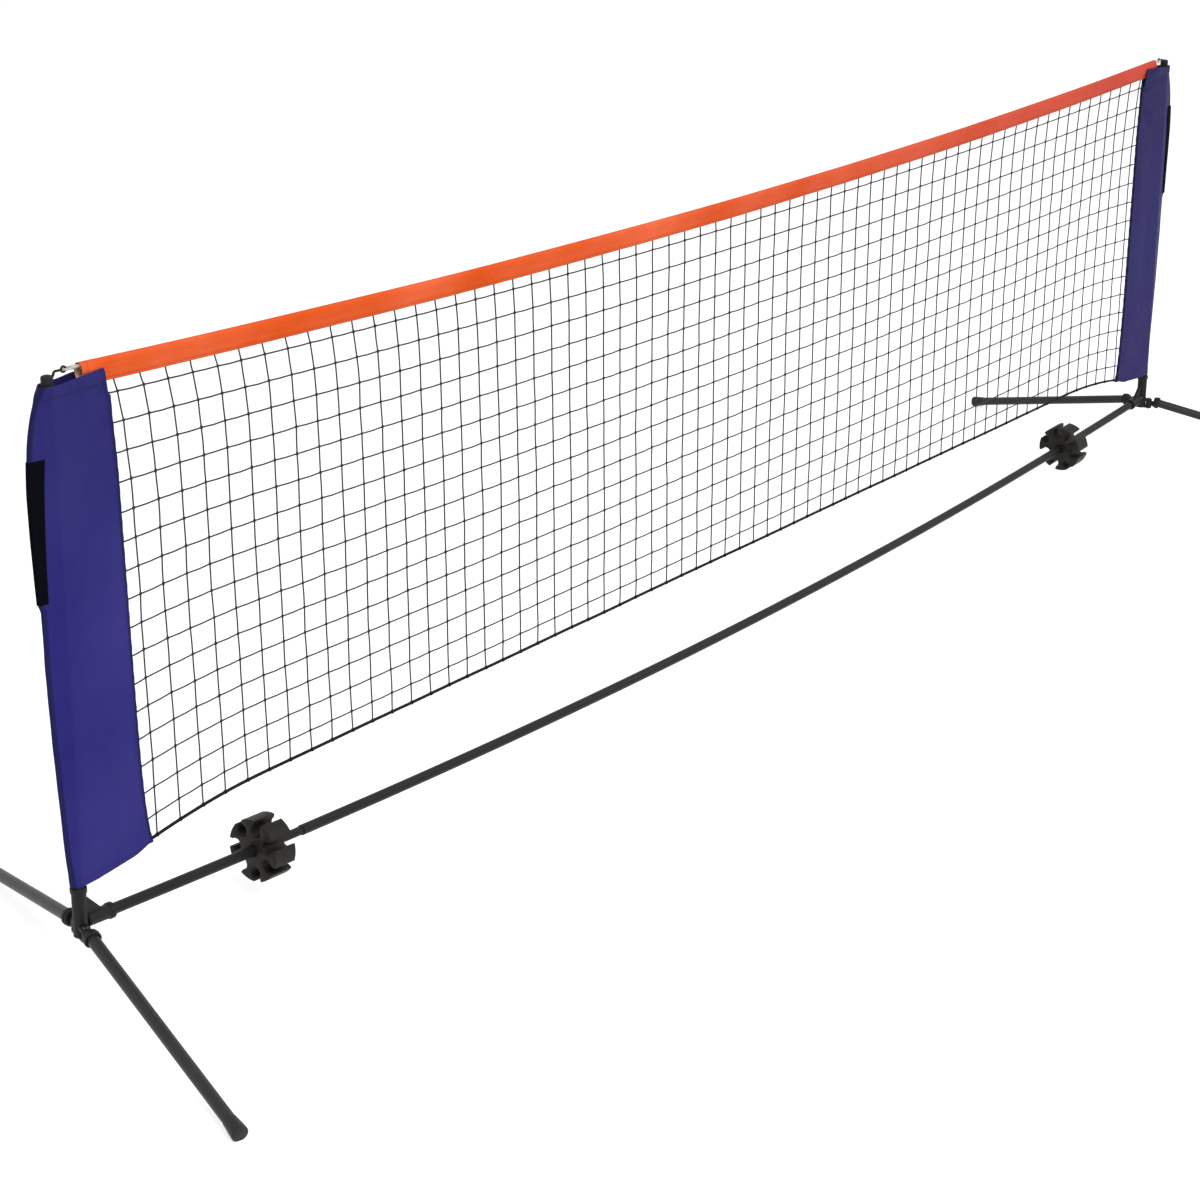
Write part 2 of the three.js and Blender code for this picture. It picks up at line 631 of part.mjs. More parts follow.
/** The mesh panel: a sheet with one gap for each column and row, following the sag. */
function netMesh() {
  const half = SLEEVE_INNER - FIT;
  const lines = Array.from(
    { length: NET_COLUMNS + 1 },
    (_, column) => (half - NET_STRAND / 2) * ((2 * column) / NET_COLUMNS - 1),
  );
  // The level stretch of the lower edge has no points between its ends.
  const drop = Array.from({ length: DROP_STEPS + 1 }, (_, step) =>
    THREE.MathUtils.lerp(CORD_STRAIGHT, half, step / DROP_STEPS),
  );
  const lowPlaces = [...drop.toReversed().map((x) => -x), ...drop];
  const highPlaces = [half, ...lines.slice(1, -1).toReversed(), -half];
  const outline = new THREE.Shape([
    ...lowPlaces.map((x) => new THREE.Vector2(x, meshLow(x))),
    ...highPlaces.map((x) => new THREE.Vector2(x, meshHigh(x))),
  ]);
  const gaps = lines.slice(1).flatMap((right, column) => {
    const from = lines[column] + NET_STRAND / 2;
    const to = right - NET_STRAND / 2;
    const rows = Array.from({ length: NET_ROWS }, (_, row) => meshGap(from, to, row));
    return rows.map((shape) => upright(shape, 2 * NET_THICKNESS));
  });
  const cutter = BufferGeometryUtils.mergeGeometries(gaps);
  return toGeometry(without(solid(upright(outline, NET_THICKNESS)), cutter));
}

/** The folded tape: round over the rope, with its hem hanging down. */
function topTape() {
  const hemDepth = TAPE_HEIGHT - TAPE_NOSE_RADIUS - TAPE_HEM_RADIUS;
  const shape = teardrop(TAPE_NOSE_RADIUS, TAPE_HEM_RADIUS, hemDepth);
  shape.holes.push(new THREE.Path().absarc(0, 0, ROPE_RADIUS + 2 * FIT, 0, TURN, true));
  return sweep(shape, new NetwiseCurve(-TAPE_HALF_LENGTH, TAPE_HALF_LENGTH, ropeHeight), TAPE_STEPS);
}

/** Middle of the rope's end loop, linked through the hook's eye. */
const ropeLoop = (sign) => hookEye(sign).add(new THREE.Vector3(-sign * LOOP_RADIUS, 0, 0));

function topRope() {
  const half = Math.abs(ropeLoop(1).x) - LOOP_RADIUS;
  const path = new NetwiseCurve(-half, half, ropeHeight);
  const loops = SIDES.map(({ sign }) => {
    const middle = ropeLoop(sign);
    return wireRing().translate(middle.x, middle.y, middle.z);
  });
  return toGeometry(joined(sweep(disc(ROPE_RADIUS), path, TAPE_STEPS), ...loops));
}

/** The cord in the mesh's lower edge, sewn to the sleeves' seams at its ends. */
function bottomCord() {
  const half = SLEEVE_INNER - 3 * FIT;
  return sweep(disc(CORD_RADIUS), new NetwiseCurve(-half, half, cordHeight), CORD_STEPS);
}

// ---------------------------------------------------------------- sleeves

/** How far the sleeve's outer edge stands beyond the post axis at height z. */
function sleeveEdge(z) {
  const bottom = HUB_HEIGHT + POST_SOCKET_HEIGHT;
  const rise = THREE.MathUtils.clamp((z - bottom) / (SLEEVE_TOP - bottom), 0, 1);
  const shoulder = 1 - rise ** SLEEVE_EDGE_SHOULDER;
  return SLEEVE_EDGE_MIN + SLEEVE_EDGE_BULGE * rise ** SLEEVE_EDGE_SPREAD * shoulder;
}

/**
 * Half the outline of a sleeve at height z, as (distance from the middle of the net,
 * distance from the plane of the net), from the seam to the outer edge: three circles,
 * at the seam, the post and the outer edge, with their common tangents, grown by offset.
 */
function sleeveHalfSection(z, offset) {
  const post = postDistance(z);
  const seam = { at: SLEEVE_INNER + SLEEVE_SEAM_RADIUS, radius: SLEEVE_SEAM_RADIUS + offset };
  const round = { at: post, radius: SLEEVE_POST_RADIUS + offset };
  const reach = post + sleeveEdge(z) - SLEEVE_EDGE_RADIUS;
  const edge = { at: reach, radius: SLEEVE_EDGE_RADIUS + offset };
  const inLean = Math.asin((round.radius - seam.radius) / (round.at - seam.at));
  const outLean = Math.asin((round.radius - edge.radius) / (edge.at - round.at));
  const on = (circle, angle) =>
    new THREE.Vector2(
      circle.at + circle.radius * Math.cos(angle),
      circle.radius * Math.sin(angle),
    );
  const square = Math.PI / 2;
  const seamPoint = on(seam, square + inLean);
  const postSide = on(round, square + inLean);
  const atTapeEnd = (TAPE_HALF_LENGTH + FIT - seamPoint.x) / (postSide.x - seamPoint.x);
  return [
    on(seam, Math.PI),
    seamPoint,
    seamPoint.clone().lerp(postSide, atTapeEnd / 2),
    seamPoint.clone().lerp(postSide, atTapeEnd),
    postSide,
    on(round, square),
    on(round, square - outLean / 2),
    on(round, square - outLean),
    on(edge, square - outLean),
    on(edge, 0),
  ];
}

/** Lowest and highest points of the cloth at a distance from the middle of the net. */
function sleeveReach(distance) {
  const bottom = HUB_HEIGHT + POST_SOCKET_HEIGHT + 2 * FIT;
  const post = postDistance(SLEEVE_TOP);
  const along = THREE.MathUtils.clamp((distance - SLEEVE_INNER) / (post - SLEEVE_INNER), 0, 1);
  const beyond = THREE.MathUtils.clamp(
    (distance - TAPE_HALF_LENGTH) / (post - TUBE_RADIUS - TAPE_HALF_LENGTH),
    0,
    1,
  );
  const underTape = Math.min(
    tapeBottom(distance) - FIT,
    SLEEVE_SEAM_TOP + SLEEVE_CORNER_SLOPE * (distance - SLEEVE_INNER),
  );
  return {
    low: THREE.MathUtils.lerp(SLEEVE_SEAM_BOTTOM, bottom, along),
    high: beyond > 0 ? THREE.MathUtils.lerp(tapeBottom(distance), SLEEVE_TOP, beyond) : underTape,
  };
}

/** Level rings of points up a sleeve, whose outline is grown by offset. */
function sleeveRings(sign, offset) {
  const middle = sleeveHalfSection((SLEEVE_SEAM_BOTTOM + SLEEVE_TOP) / 2, offset);
  return Array.from({ length: SLEEVE_LEVELS + 1 }, (_, level) => {
    const front = middle.map((start, index) => {
      let point = start;
      let z = 0;
      for (let pass = 0; pass < SETTLING_PASSES; pass += 1) {
        const { low, high } = sleeveReach(point.x);
        z = THREE.MathUtils.lerp(low, high, level / SLEEVE_LEVELS);
        point = sleeveHalfSection(z, offset)[index];
      }
      return new THREE.Vector3(sign * point.x, -point.y, z);
    });
    front[0].y = 0;
    front[front.length - 1].y = 0;
    const back = front.slice(1, -1).toReversed();
    return [...front, ...back.map((point) => new THREE.Vector3(point.x, -point.y, point.z))];
  });
}

/** The same rings with one more beyond each end, for a hollow that runs right through. */
function runThrough(rings) {
  const shifted = (ring, by) => ring.map((point) => point.clone().setZ(point.z + by));
  return [shifted(rings[0], -CUT_PAST), ...rings, shifted(rings[rings.length - 1], CUT_PAST)];
}

/** Joins closed rings of points, which mirror front to back, into a capped body. */
function loft(rings, flip) {
  const count = rings[0].length;
  const half = count / 2;
  const faces = [];
  const addFace = (a, b, c) => faces.push(...(flip ? [a, c, b] : [a, b, c]));
  rings.slice(1).forEach((_, level) => {
    for (let index = 0; index < count; index += 1) {
      const next = (index + 1) % count;
      const low = level * count;
      const high = low + count;
      addFace(low + index, high + next, low + next);
      addFace(low + index, high + index, high + next);
    }
  });
  const mirror = (index) => (count - index) % count;
  [0, (rings.length - 1) * count].forEach((base, top) => {
    const cap = top ? (a, b, c) => addFace(a, c, b) : addFace;
    for (let index = 0; index < half; index += 1) {
      const [a, b] = [base + index, base + index + 1];
      const [c, d] = [base + mirror(index + 1), base + mirror(index)];
      if (b !== c) {
        cap(a, b, c);
      }
      if (a !== d) {
        cap(a, c, d);
      }
    }
  });
  const geometry = new THREE.BufferGeometry();
  geometry.setFromPoints(rings.flat());
  geometry.setIndex(faces);
  return geometry;
}

/** A cloth pocket for the post, open at both ends. */
function sleeve(sign) {
  const outside = solid(loft(sleeveRings(sign, 0), sign > 0));
  const inside = loft(runThrough(sleeveRings(sign, -SLEEVE_CLOTH)), sign > 0);
  return toGeometry(without(outside, inside));
}

/** The hook-and-loop strip that closes the sleeve, folded over its outer edge. */
function closureStrip(sign) {
  const middle = (STRIP_LOW + STRIP_HIGH) / 2;
  const edge = postDistance(middle) + sleeveEdge(middle);
  const keep = new THREE.BoxGeometry(2 * STRIP_WIDTH, SPAN, STRIP_HIGH - STRIP_LOW);
  keep.translate(sign * edge, 0, middle);
  const outside = solid(loft(sleeveRings(sign, FIT + STRIP_THICKNESS), sign > 0));
  const inside = loft(runThrough(sleeveRings(sign, FIT)), sign > 0);
  return toGeometry(without(outside.intersect(solid(keep)), inside));
}

// ---------------------------------------------------------------- assembly

SIDES.forEach(({ name, sign, clipFromPost, clipTurn }) => {
  addMesh(net, `${name}_hub`, hub(sign), MOULDED);
  addMesh(net, `${name}_post`, postTube(sign), POWDER_COAT);
  addMesh(net, `${name}_post_cap`, postCap(sign), MOULDED);
  addMesh(net, `${name}_sleeve`, sleeve(sign), BLUE_CLOTH);
  addMesh(net, `${name}_closure_strip`, closureStrip(sign), BLACK_STRIP);
  const station = barStation(sign * (SPAN / 2 - clipFromPost), clipTurn);
  addMesh(station, `${name}_storage_clip`, storageClip(), CLIP_PLASTIC);
  net.add(station);
});

LEGS.forEach(({ name, side, across, splay }) => {
  const hinge = new THREE.Group();
  hinge.position.copy(pivotPoint(side, across));
  hinge.rotation.z = THREE.MathUtils.degToRad(across * (90 - side * splay));
  addMesh(hinge, `${name}_leg_socket`, legSocket(), MOULDED);
  addMesh(hinge, `${name}_leg_tube`, legTube(), POWDER_COAT);
  addMesh(hinge, `${name}_foot_cap`, footCap(), MOULDED);
  addMesh(hinge, `${name}_hinge_pin`, hingePin(), RIVET_STEEL);
  net.add(hinge);
});

barTubes().forEach((tube) => addMesh(net, tube.name, barTube(tube), BAR_COAT));

addMesh(net, "net_mesh", netMesh(), NET_THREAD);
addMesh(net, "top_tape", topTape(), ORANGE_TAPE);
addMesh(net, "top_rope", topRope(), WHITE_ROPE);
addMesh(net, "bottom_cord", bottomCord(), BLACK_CORD);

export default net;
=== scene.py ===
"""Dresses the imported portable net: smooth tubes and mouldings, a knotted mesh, tape, rope and cloth.

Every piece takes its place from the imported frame, rides on a body of it and stands for the CAD
nodes whose shape it refines.  All sizes are in metres.
"""

from __future__ import annotations

import json
import logging
import math
import sys
from collections.abc import Callable, Iterable, Mapping, Sequence
from dataclasses import dataclass, field, replace
from enum import Enum

import bmesh
import bpy
from mathutils import Euler, Matrix, Vector, noise

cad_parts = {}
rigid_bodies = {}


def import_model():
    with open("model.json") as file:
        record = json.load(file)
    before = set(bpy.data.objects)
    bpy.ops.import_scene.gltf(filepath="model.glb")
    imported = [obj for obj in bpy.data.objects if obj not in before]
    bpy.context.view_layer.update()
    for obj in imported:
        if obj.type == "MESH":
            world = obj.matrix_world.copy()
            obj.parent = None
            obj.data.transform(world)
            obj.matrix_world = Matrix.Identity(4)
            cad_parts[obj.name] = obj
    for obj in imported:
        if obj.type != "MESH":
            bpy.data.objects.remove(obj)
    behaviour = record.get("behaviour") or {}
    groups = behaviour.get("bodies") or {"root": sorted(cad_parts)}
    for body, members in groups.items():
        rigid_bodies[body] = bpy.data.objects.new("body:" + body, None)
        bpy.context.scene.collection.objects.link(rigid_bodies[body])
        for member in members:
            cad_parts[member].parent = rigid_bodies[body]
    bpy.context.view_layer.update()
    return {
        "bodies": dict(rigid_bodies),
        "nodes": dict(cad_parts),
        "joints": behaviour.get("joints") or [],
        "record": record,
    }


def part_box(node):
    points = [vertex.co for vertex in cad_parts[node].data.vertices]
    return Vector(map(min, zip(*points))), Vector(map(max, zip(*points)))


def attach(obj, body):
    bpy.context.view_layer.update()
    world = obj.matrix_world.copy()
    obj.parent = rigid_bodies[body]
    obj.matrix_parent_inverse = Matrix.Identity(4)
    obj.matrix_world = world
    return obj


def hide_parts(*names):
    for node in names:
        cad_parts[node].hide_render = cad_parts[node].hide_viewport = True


LOG = logging.getLogger("portable_net")
FULL_TURN = 2 * math.pi
FRAME_BODY = "frame_and_net"
UV_LAYER = "UVMap"
WHITE = (1.0, 1.0, 1.0, 1.0)
FLOOR_GREY = (0.82, 0.82, 0.82, 1.0)

Point = tuple[float, float]
Colour = tuple[float, float, float]
Piece = bpy.types.Object
Shape = bmesh.types.BMesh
Socket = bpy.types.NodeSocket
Vert = bmesh.types.BMVert
Edge = bmesh.types.BMEdge


class Side(Enum):
    """An end of the net, by the sign of its X."""

    LEFT = -1
    RIGHT = 1

    @property
    def label(self) -> str:
        """The word that starts the names of this end's pieces."""
        return self.name.lower()


class Leg(Enum):
    """A leg, by the first words of its nodes' names."""

    LEFT_FRONT = "left_front"
    LEFT_REAR = "left_rear"
    RIGHT_FRONT = "right_front"
    RIGHT_REAR = "right_rear"


class Join(Enum):
    """How one solid is combined with another."""

    UNION = "UNION"
    CUT = "DIFFERENCE"


# ------------------------------------------------------------------ shader nodes


@dataclass
class NodeSheet:
    """A node tree that is being filled, with short ways to add and link nodes."""

    tree: bpy.types.NodeTree

    def add(self, kind: str, **settings: object) -> bpy.types.Node:
        """Adds a node, and sets its attributes."""
        node = self.tree.nodes.new(kind)
        for name, value in settings.items():
            setattr(node, name, value)
        return node

    def link(self, source: Socket, target: Socket) -> None:
        """Links an output to an input."""
        self.tree.links.new(source, target)

    def feed(self, node: bpy.types.Node, values: Mapping[str | int, object]) -> None:
        """Gives each named or numbered input of a node either a link or a plain value."""
        for key, value in values.items():
            if isinstance(value, Socket):
                self.link(value, node.inputs[key])
            else:
                node.inputs[key].default_value = value

    def made(self, kind: str, values: Mapping[str | int, object], output: str | int = 0, **settings: object) -> Socket:
        """Adds a node with its inputs.

        Args:
            kind: The node's type name.
            values: A socket or a plain value for each input, by name or number.
            output: The output that is wanted, by name or number.
            **settings: Attributes that are set on the node.

        Returns:
            That output.
        """
        node = self.add(kind, **settings)
        self.feed(node, values)
        return node.outputs[output]

    def math(self, operation: str, *values: object) -> Socket:
        """Adds a Math node, with a socket or a number for each input."""
        return self.made("ShaderNodeMath", dict(enumerate(values)), operation=operation)

    def noise(self, vector: Socket, scale: object, detail: float, roughness: float = 0.5) -> Socket:
        """Adds a Noise Texture and returns its value."""
        values = {"Vector": vector, "Scale": scale, "Detail": detail, "Roughness": roughness}
        return self.made("ShaderNodeTexNoise", values, "Fac")

    def spread(self, value: Socket, low: float, high: float, to_low: float = 0.0, to_high: float = 1.0) -> Socket:
        """Maps a range of values to another, clamped, and returns the result."""
        names = ("Value", "From Min", "From Max", "To Min", "To Max")
        return self.made("ShaderNodeMapRange", dict(zip(names, (value, low, high, to_low, to_high))), "Result")

    def mix(self, factor: object, first: object, second: object) -> Socket:
        """Mixes two colours and returns the result."""
        return self.made("ShaderNodeMix", {0: factor, 6: first, 7: second}, 2, data_type="RGBA")

    def toned(self, colour: Socket, value: object, saturation: object = 1.0) -> Socket:
        """Makes a colour lighter or darker, and stronger or paler."""
        return self.made("ShaderNodeHueSaturation", {"Color": colour, "Value": value, "Saturation": saturation})

    def parts(self, vector: Socket) -> Iterable[Socket]:
        """The X, Y and Z of a vector."""
        node = self.add("ShaderNodeSeparateXYZ")
        self.link(vector, node.inputs["Vector"])
        return node.outputs


Fill = Callable[[NodeSheet, Mapping[str, Socket]], Sequence[Socket]]


def node_group(name: str, inputs: Mapping[str, float | None], outputs: Sequence[str], fill: Fill) -> bpy.types.NodeTree:
    """Finds a shared node group, or makes it the first time.

    Args:
        name: The group's name.
        inputs: The default value of each input, or none where it is a vector.
        outputs: The names of its outputs, which are all values.
        fill: Adds its nodes and returns a socket for each output.

    Returns:
        The group.
    """
    if name in bpy.data.node_groups:
        return bpy.data.node_groups[name]
    group = bpy.data.node_groups.new(name, "ShaderNodeTree")
    for label, default in inputs.items():
        kind = "NodeSocketVector" if default is None else "NodeSocketFloat"
        socket = group.interface.new_socket(label, in_out="INPUT", socket_type=kind)
        if default is not None:
            socket.default_value = default
    for label in outputs:
        group.interface.new_socket(label, in_out="OUTPUT", socket_type="NodeSocketFloat")
    sheet = NodeSheet(group)
    results = fill(sheet, sheet.add("NodeGroupInput").outputs)
    sheet.feed(sheet.add("NodeGroupOutput"), dict(zip(outputs, results)))
    return group


def surface_grain() -> bpy.types.NodeTree:
    """Fine moulded or sprayed texture, with broad uneven patches and small scuffs."""

    def fill(sheet: NodeSheet, given: Mapping[str, Socket]) -> Sequence[Socket]:
        """The grain's height, the patches and the scuffs."""
        place = given["Vector"]
        fine = sheet.noise(place, sheet.math("DIVIDE", 1.0, given["Grain Size"]), 3.0)
        patches = sheet.noise(place, 14.0, 3.0, 0.6)
        stretched = sheet.made("ShaderNodeMapping", {"Vector": place, "Scale": (22.0, 160.0, 160.0)})
        streaks = sheet.spread(sheet.noise(stretched, 1.0, 4.0, 0.7), 0.62, 0.72)
        return fine, patches, sheet.math("MULTIPLY", streaks, given["Scuffs"])

    inputs = {"Vector": None, "Grain Size": 0.001, "Scuffs": 0.3}
    return node_group("surface_grain", inputs, ("Height", "Patches", "Scuff Mask"), fill)


def plain_weave() -> bpy.types.NodeTree:
    """Plain weave from a UV map in metres."""

    def fill(sheet: NodeSheet, given: Mapping[str, Socket]) -> Sequence[Socket]:
        """The threads' height, and which of them lies over the other."""
        x, y, _ = sheet.parts(given["Vector"])
        turns = sheet.math("DIVIDE", math.pi, given["Thread Pitch"])
        across, along = (sheet.math("SINE", sheet.math("MULTIPLY", axis, turns)) for axis in (x, y))
        crossing = sheet.math("MULTIPLY", across, along)
        height = sheet.math("ADD", sheet.math("ABSOLUTE", across), sheet.math("ABSOLUTE", along))
        return sheet.math("MULTIPLY_ADD", crossing, 0.35, height), sheet.spread(crossing, -1.0, 1.0)

    return node_group("plain_weave", {"Vector": None, "Thread Pitch": 0.0006}, ("Height", "Crossing"), fill)


def stitch_row() -> bpy.types.NodeTree:
    """One row of stitches along a line of the UV map, with the pucker beside it."""

    def fill(sheet: NodeSheet, given: Mapping[str, Socket]) -> Sequence[Socket]:
        """The stitches' mask and height."""
        distance = sheet.math("ABSOLUTE", sheet.math("SUBTRACT", given["Across"], given["Row"]))
        step = sheet.math("FRACT", sheet.math("DIVIDE", given["Along"], given["Pitch"]))
        thread = sheet.spread(distance, 0.0003, 0.0005, 1.0, 0.0)
        dash = sheet.spread(sheet.math("ABSOLUTE", sheet.math("SUBTRACT", step, 0.5)), 0.34, 0.38, 1.0, 0.0)
        mask = sheet.math("MULTIPLY", thread, dash)
        return mask, sheet.math("MULTIPLY_ADD", mask, 1.6, sheet.spread(distance, 0.0, 0.0025, -1.0, 0.0))

    inputs = {"Across": 0.0, "Along": 0.0, "Row": 0.01, "Pitch": 0.004}
    return node_group("stitch_row", inputs, ("Mask", "Height"), fill)


def strand_lay() -> bpy.types.NodeTree:
    """Strands that wind round a rope or cord, from a UV map in metres."""

    def fill(sheet: NodeSheet, given: Mapping[str, Socket]) -> Sequence[Socket]:
        """The strands' height, and the valleys between them."""
        x, y, _ = sheet.parts(given["Vector"])
        turns = sheet.math("DIVIDE", math.pi, given["Strand Pitch"])
        windings = [
            sheet.math("ABSOLUTE", sheet.math("SINE", sheet.math("MULTIPLY", sheet.math(way, x, y), turns)))
            for way in ("ADD", "SUBTRACT")
        ]
        height = sheet.math("MAXIMUM", *windings)
        return height, sheet.spread(height, 0.2, 0.8, 1.0, 0.0)

    return node_group("strand_lay", {"Vector": None, "Strand Pitch": 0.003}, ("Height", "Valley"), fill)


# ------------------------------------------------------------------ finishes


def spaced(values: Mapping[str, object]) -> dict[str, object]:
    """Input names as Blender writes them, from names with underscores."""
    return {name.replace("_", " "): value for name, value in values.items()}


@dataclass
class Shader:
    """A new material with its Principled BSDF, ready for its nodes."""

    name: str
    sheet: NodeSheet = field(init=False)
    surface: bpy.types.Node = field(init=False)

    def __post_init__(self) -> None:
        """Makes the material and finds its shader."""
        material = bpy.data.materials.new(self.name)
        material.use_nodes = True
        self.sheet = NodeSheet(material.node_tree)
        self.surface = next(node for node in material.node_tree.nodes if node.type == "BSDF_PRINCIPLED")

    def group(self, tree: bpy.types.NodeTree, **values: object) -> Mapping[str, Socket]:
        """Places a node group with a socket or a number for each input, and returns its outputs."""
        node = self.sheet.add("ShaderNodeGroup", node_tree=tree)
        self.sheet.feed(node, spaced(values))
        return node.outputs

    def coordinates(self, output: str) -> Socket:
        """The Object or UV output of a Texture Coordinate node."""
        return self.sheet.made("ShaderNodeTexCoord", {}, output)

    def bump(self, height: Socket, depth: float, under: Socket | None = None) -> Socket:
        """Adds a Bump node.

        Args:
            height: What it reads, from 0 to about 1.
            depth: How deep that is, in metres.
            under: A normal that it adds to.

        Returns:
            The bumped normal.
        """
        below = {} if under is None else {"Normal": under}
        return self.sheet.made("ShaderNodeBump", {"Strength": 1.0, "Distance": depth, "Height": height, **below})

    def finish(self, colour: Socket, normal: Socket, **values: object) -> None:
        """Joins the colour, the normal and the other values to the shader's own sockets."""
        self.sheet.feed(self.surface, {"Base Color": colour, "Normal": normal, **spaced(values)})


def shade(colour: Colour, factor: float) -> tuple[float, float, float, float]:
    """A colour made lighter or darker, with alpha."""
    return (*(min(1.0, channel * factor) for channel in colour), 1.0)


@dataclass(frozen=True)
class Finish:
    """A procedural material, and the record's slot that it fills."""

    name: str
    slot: str
    colour: Colour

    def material(self) -> bpy.types.Material:
        """The material, made the first time it is asked for."""
        if self.name not in bpy.data.materials:
            self.dress(Shader(self.name))
        return bpy.data.materials[self.name]

    def dress(self, shader: Shader) -> None:
        """Adds the finish's nodes to its shader."""
        raise NotImplementedError


@dataclass(frozen=True)
class HardFinish(Finish):
    """Powder coat, moulded plastic or blackened steel."""

    roughness: float
    grain_size: float
    grain_depth: float
    scuffs: float
    specular: float = 0.3
    metallic: float = 0.0
    patchiness: float = 0.16

    def dress(self, shader: Shader) -> None:
        """Adds the grain, the uneven patches and the scuffs."""
        sheet = shader.sheet
        place = shader.coordinates("Object")
        grain = shader.group(surface_grain(), Vector=place, Grain_Size=self.grain_size, Scuffs=self.scuffs)
        patches, scuffs = grain["Patches"], grain["Scuff Mask"]
        low, high = (shade(self.colour, 1 + way * self.patchiness) for way in (-1, 1))
        worn = sheet.mix(sheet.spread(patches, 0.3, 0.7), low, high)
        rough = sheet.spread(patches, 0.3, 0.7, self.roughness - 0.05, self.roughness + 0.07)
        shader.finish(
            sheet.mix(scuffs, worn, shade(self.colour, 2.2)),
            shader.bump(grain["Height"], self.grain_depth),
            Roughness=sheet.math("MULTIPLY_ADD", scuffs, 0.2, rough),
            Specular_IOR_Level=self.specular,
            Metallic=self.metallic,
        )


@dataclass(frozen=True)
class ClothFinish(Finish):
    """Woven cloth with hems and rows of stitches, at distances in metres on its UV map."""

    far_colour: Colour
    far_from: float
    far_to: float
    roughness: float
    thread_pitch: float
    weave_depth: float
    sheen: float
    hem_shade: float
    stitch_pitch: float
    stitch_colour: Colour
    across_rows: tuple[float, ...] = ()
    along_rows: tuple[float, ...] = ()
    hem_across: tuple[Point, ...] = ()
    hem_along: tuple[Point, ...] = ()
    top_shade: float = 1.0
    shade_from: float = 0.50
    shade_to: float = 0.80

    @staticmethod
    def _band(sheet: NodeSheet, value: Socket, start: float, end: float) -> Socket:
        """A mask that is 1 between two distances."""
        soft = 0.0006
        rising = sheet.spread(value, start - soft, start + soft)
        return sheet.math("MULTIPLY", rising, sheet.spread(value, end - soft, end + soft, 1.0, 0.0))

    def dress(self, shader: Shader) -> None:
        """Adds the colour graded along X, the weave, the hems, the stitches and the creases; on the sleeves the grading
        is painted shade that darkens the right sleeve.
        """
        sheet = shader.sheet
        flat, where = shader.coordinates("UV"), shader.coordinates("Object")
        across, along, _ = sheet.parts(flat)
        x, _, z = sheet.parts(where)
        faded = sheet.spread(sheet.noise(where, 5.0, 3.0, 0.55), 0.3, 0.7)
        # Colour runs from colour to far_colour along X: on the blue sleeves this is painted shade on the right sleeve,
        # on the tape it turns the orange redder to the right.
        graded_along_x = sheet.mix(sheet.spread(x, self.far_from, self.far_to), (*self.colour, 1.0), (*self.far_colour, 1.0))
        value, strength = (sheet.spread(faded, 0.0, 1.0, *ends) for ends in ((0.9, 1.1), (1.03, 0.96)))
        colour = sheet.toned(graded_along_x, value, strength)
        if self.top_shade != 1.0:
            rise = sheet.spread(z, self.shade_from, self.shade_to)
            colour = sheet.mix(rise, colour, sheet.toned(colour, self.top_shade))
        weave = shader.group(plain_weave(), Vector=flat, Thread_Pitch=self.thread_pitch)
        # Painted shade: the threads lying under at each crossing are made darker.
        crossing = sheet.math("MULTIPLY", weave["Crossing"], 0.5)
        colour = sheet.mix(crossing, colour, sheet.toned(colour, 0.82))
        # Painted shade: the hems and bindings are the same cloth, made darker by hem_shade.
        bands = [self._band(sheet, across, *ends) for ends in self.hem_across]
        bands += [self._band(sheet, along, *ends) for ends in self.hem_along]
        if bands:
            hem = bands[0]
            for band in bands[1:]:
                hem = sheet.math("MAXIMUM", hem, band)
            colour = sheet.mix(hem, colour, sheet.toned(colour, self.hem_shade))
        normal = shader.bump(weave["Height"], self.weave_depth)
        rows = [(across, along, row) for row in self.across_rows]
        rows += [(along, across, row) for row in self.along_rows]
        for over, run, row in rows:
            stitches = shader.group(stitch_row(), Across=over, Along=run, Row=row, Pitch=self.stitch_pitch)
            colour = sheet.mix(stitches["Mask"], colour, (*self.stitch_colour, 1.0))
            normal = shader.bump(stitches["Height"], 0.0004, normal)
        shader.finish(
            colour,
            shader.bump(sheet.noise(where, 60.0, 4.0, 0.6), 0.0006, normal),
            Roughness=sheet.spread(faded, 0.0, 1.0, self.roughness - 0.06, self.roughness + 0.05),
            Specular_IOR_Level=0.12,
            Sheen_Weight=self.sheen,
            Sheen_Roughness=0.45,
        )


@dataclass(frozen=True)
class CordFinish(Finish):
    """Braided or laid rope, cord and thread."""

    strand_pitch: float
    strand_depth: float
    valley_shade: float
    roughness: float = 0.85

    def dress(self, shader: Shader) -> None:
        """Adds the strands, and the grime on them."""
        sheet = shader.sheet
        lay = shader.group(strand_lay(), Vector=shader.coordinates("UV"), Strand_Pitch=self.strand_pitch)
        grime = sheet.spread(sheet.noise(shader.coordinates("Object"), 18.0, 3.0, 0.6), 0.35, 0.7)
        strands = sheet.mix(grime, shade(self.colour, 1.0), shade(self.colour, 0.84))
        shader.finish(
            sheet.mix(lay["Valley"], strands, shade(self.colour, self.valley_shade)),
            shader.bump(lay["Height"], self.strand_depth),
            Roughness=self.roughness,
            Specular_IOR_Level=0.2,
        )


@dataclass(frozen=True)
class HookLoopFinish(Finish):
    """Short upright fibres of hook-and-loop tape."""

    fibre_pitch: float

    def dress(self, shader: Shader) -> None:
        """Adds the fibres, with painted highlight on their tips and painted shade between them."""
        sheet = shader.sheet
        values = {"Vector": shader.coordinates("UV"), "Scale": 1 / self.fibre_pitch}
        tips = sheet.spread(sheet.made("ShaderNodeTexVoronoi", values, "Distance"), 0.0, 0.6, 1.0, 0.0)
        shader.finish(
            # Painted highlight on the fibre tips, painted shade between the fibres.
            sheet.mix(sheet.math("MULTIPLY", tips, 0.7), shade(self.colour, 0.7), shade(self.colour, 1.7)),
            shader.bump(tips, 0.0005),
            Roughness=0.95,
            Specular_IOR_Level=0.04,
        )


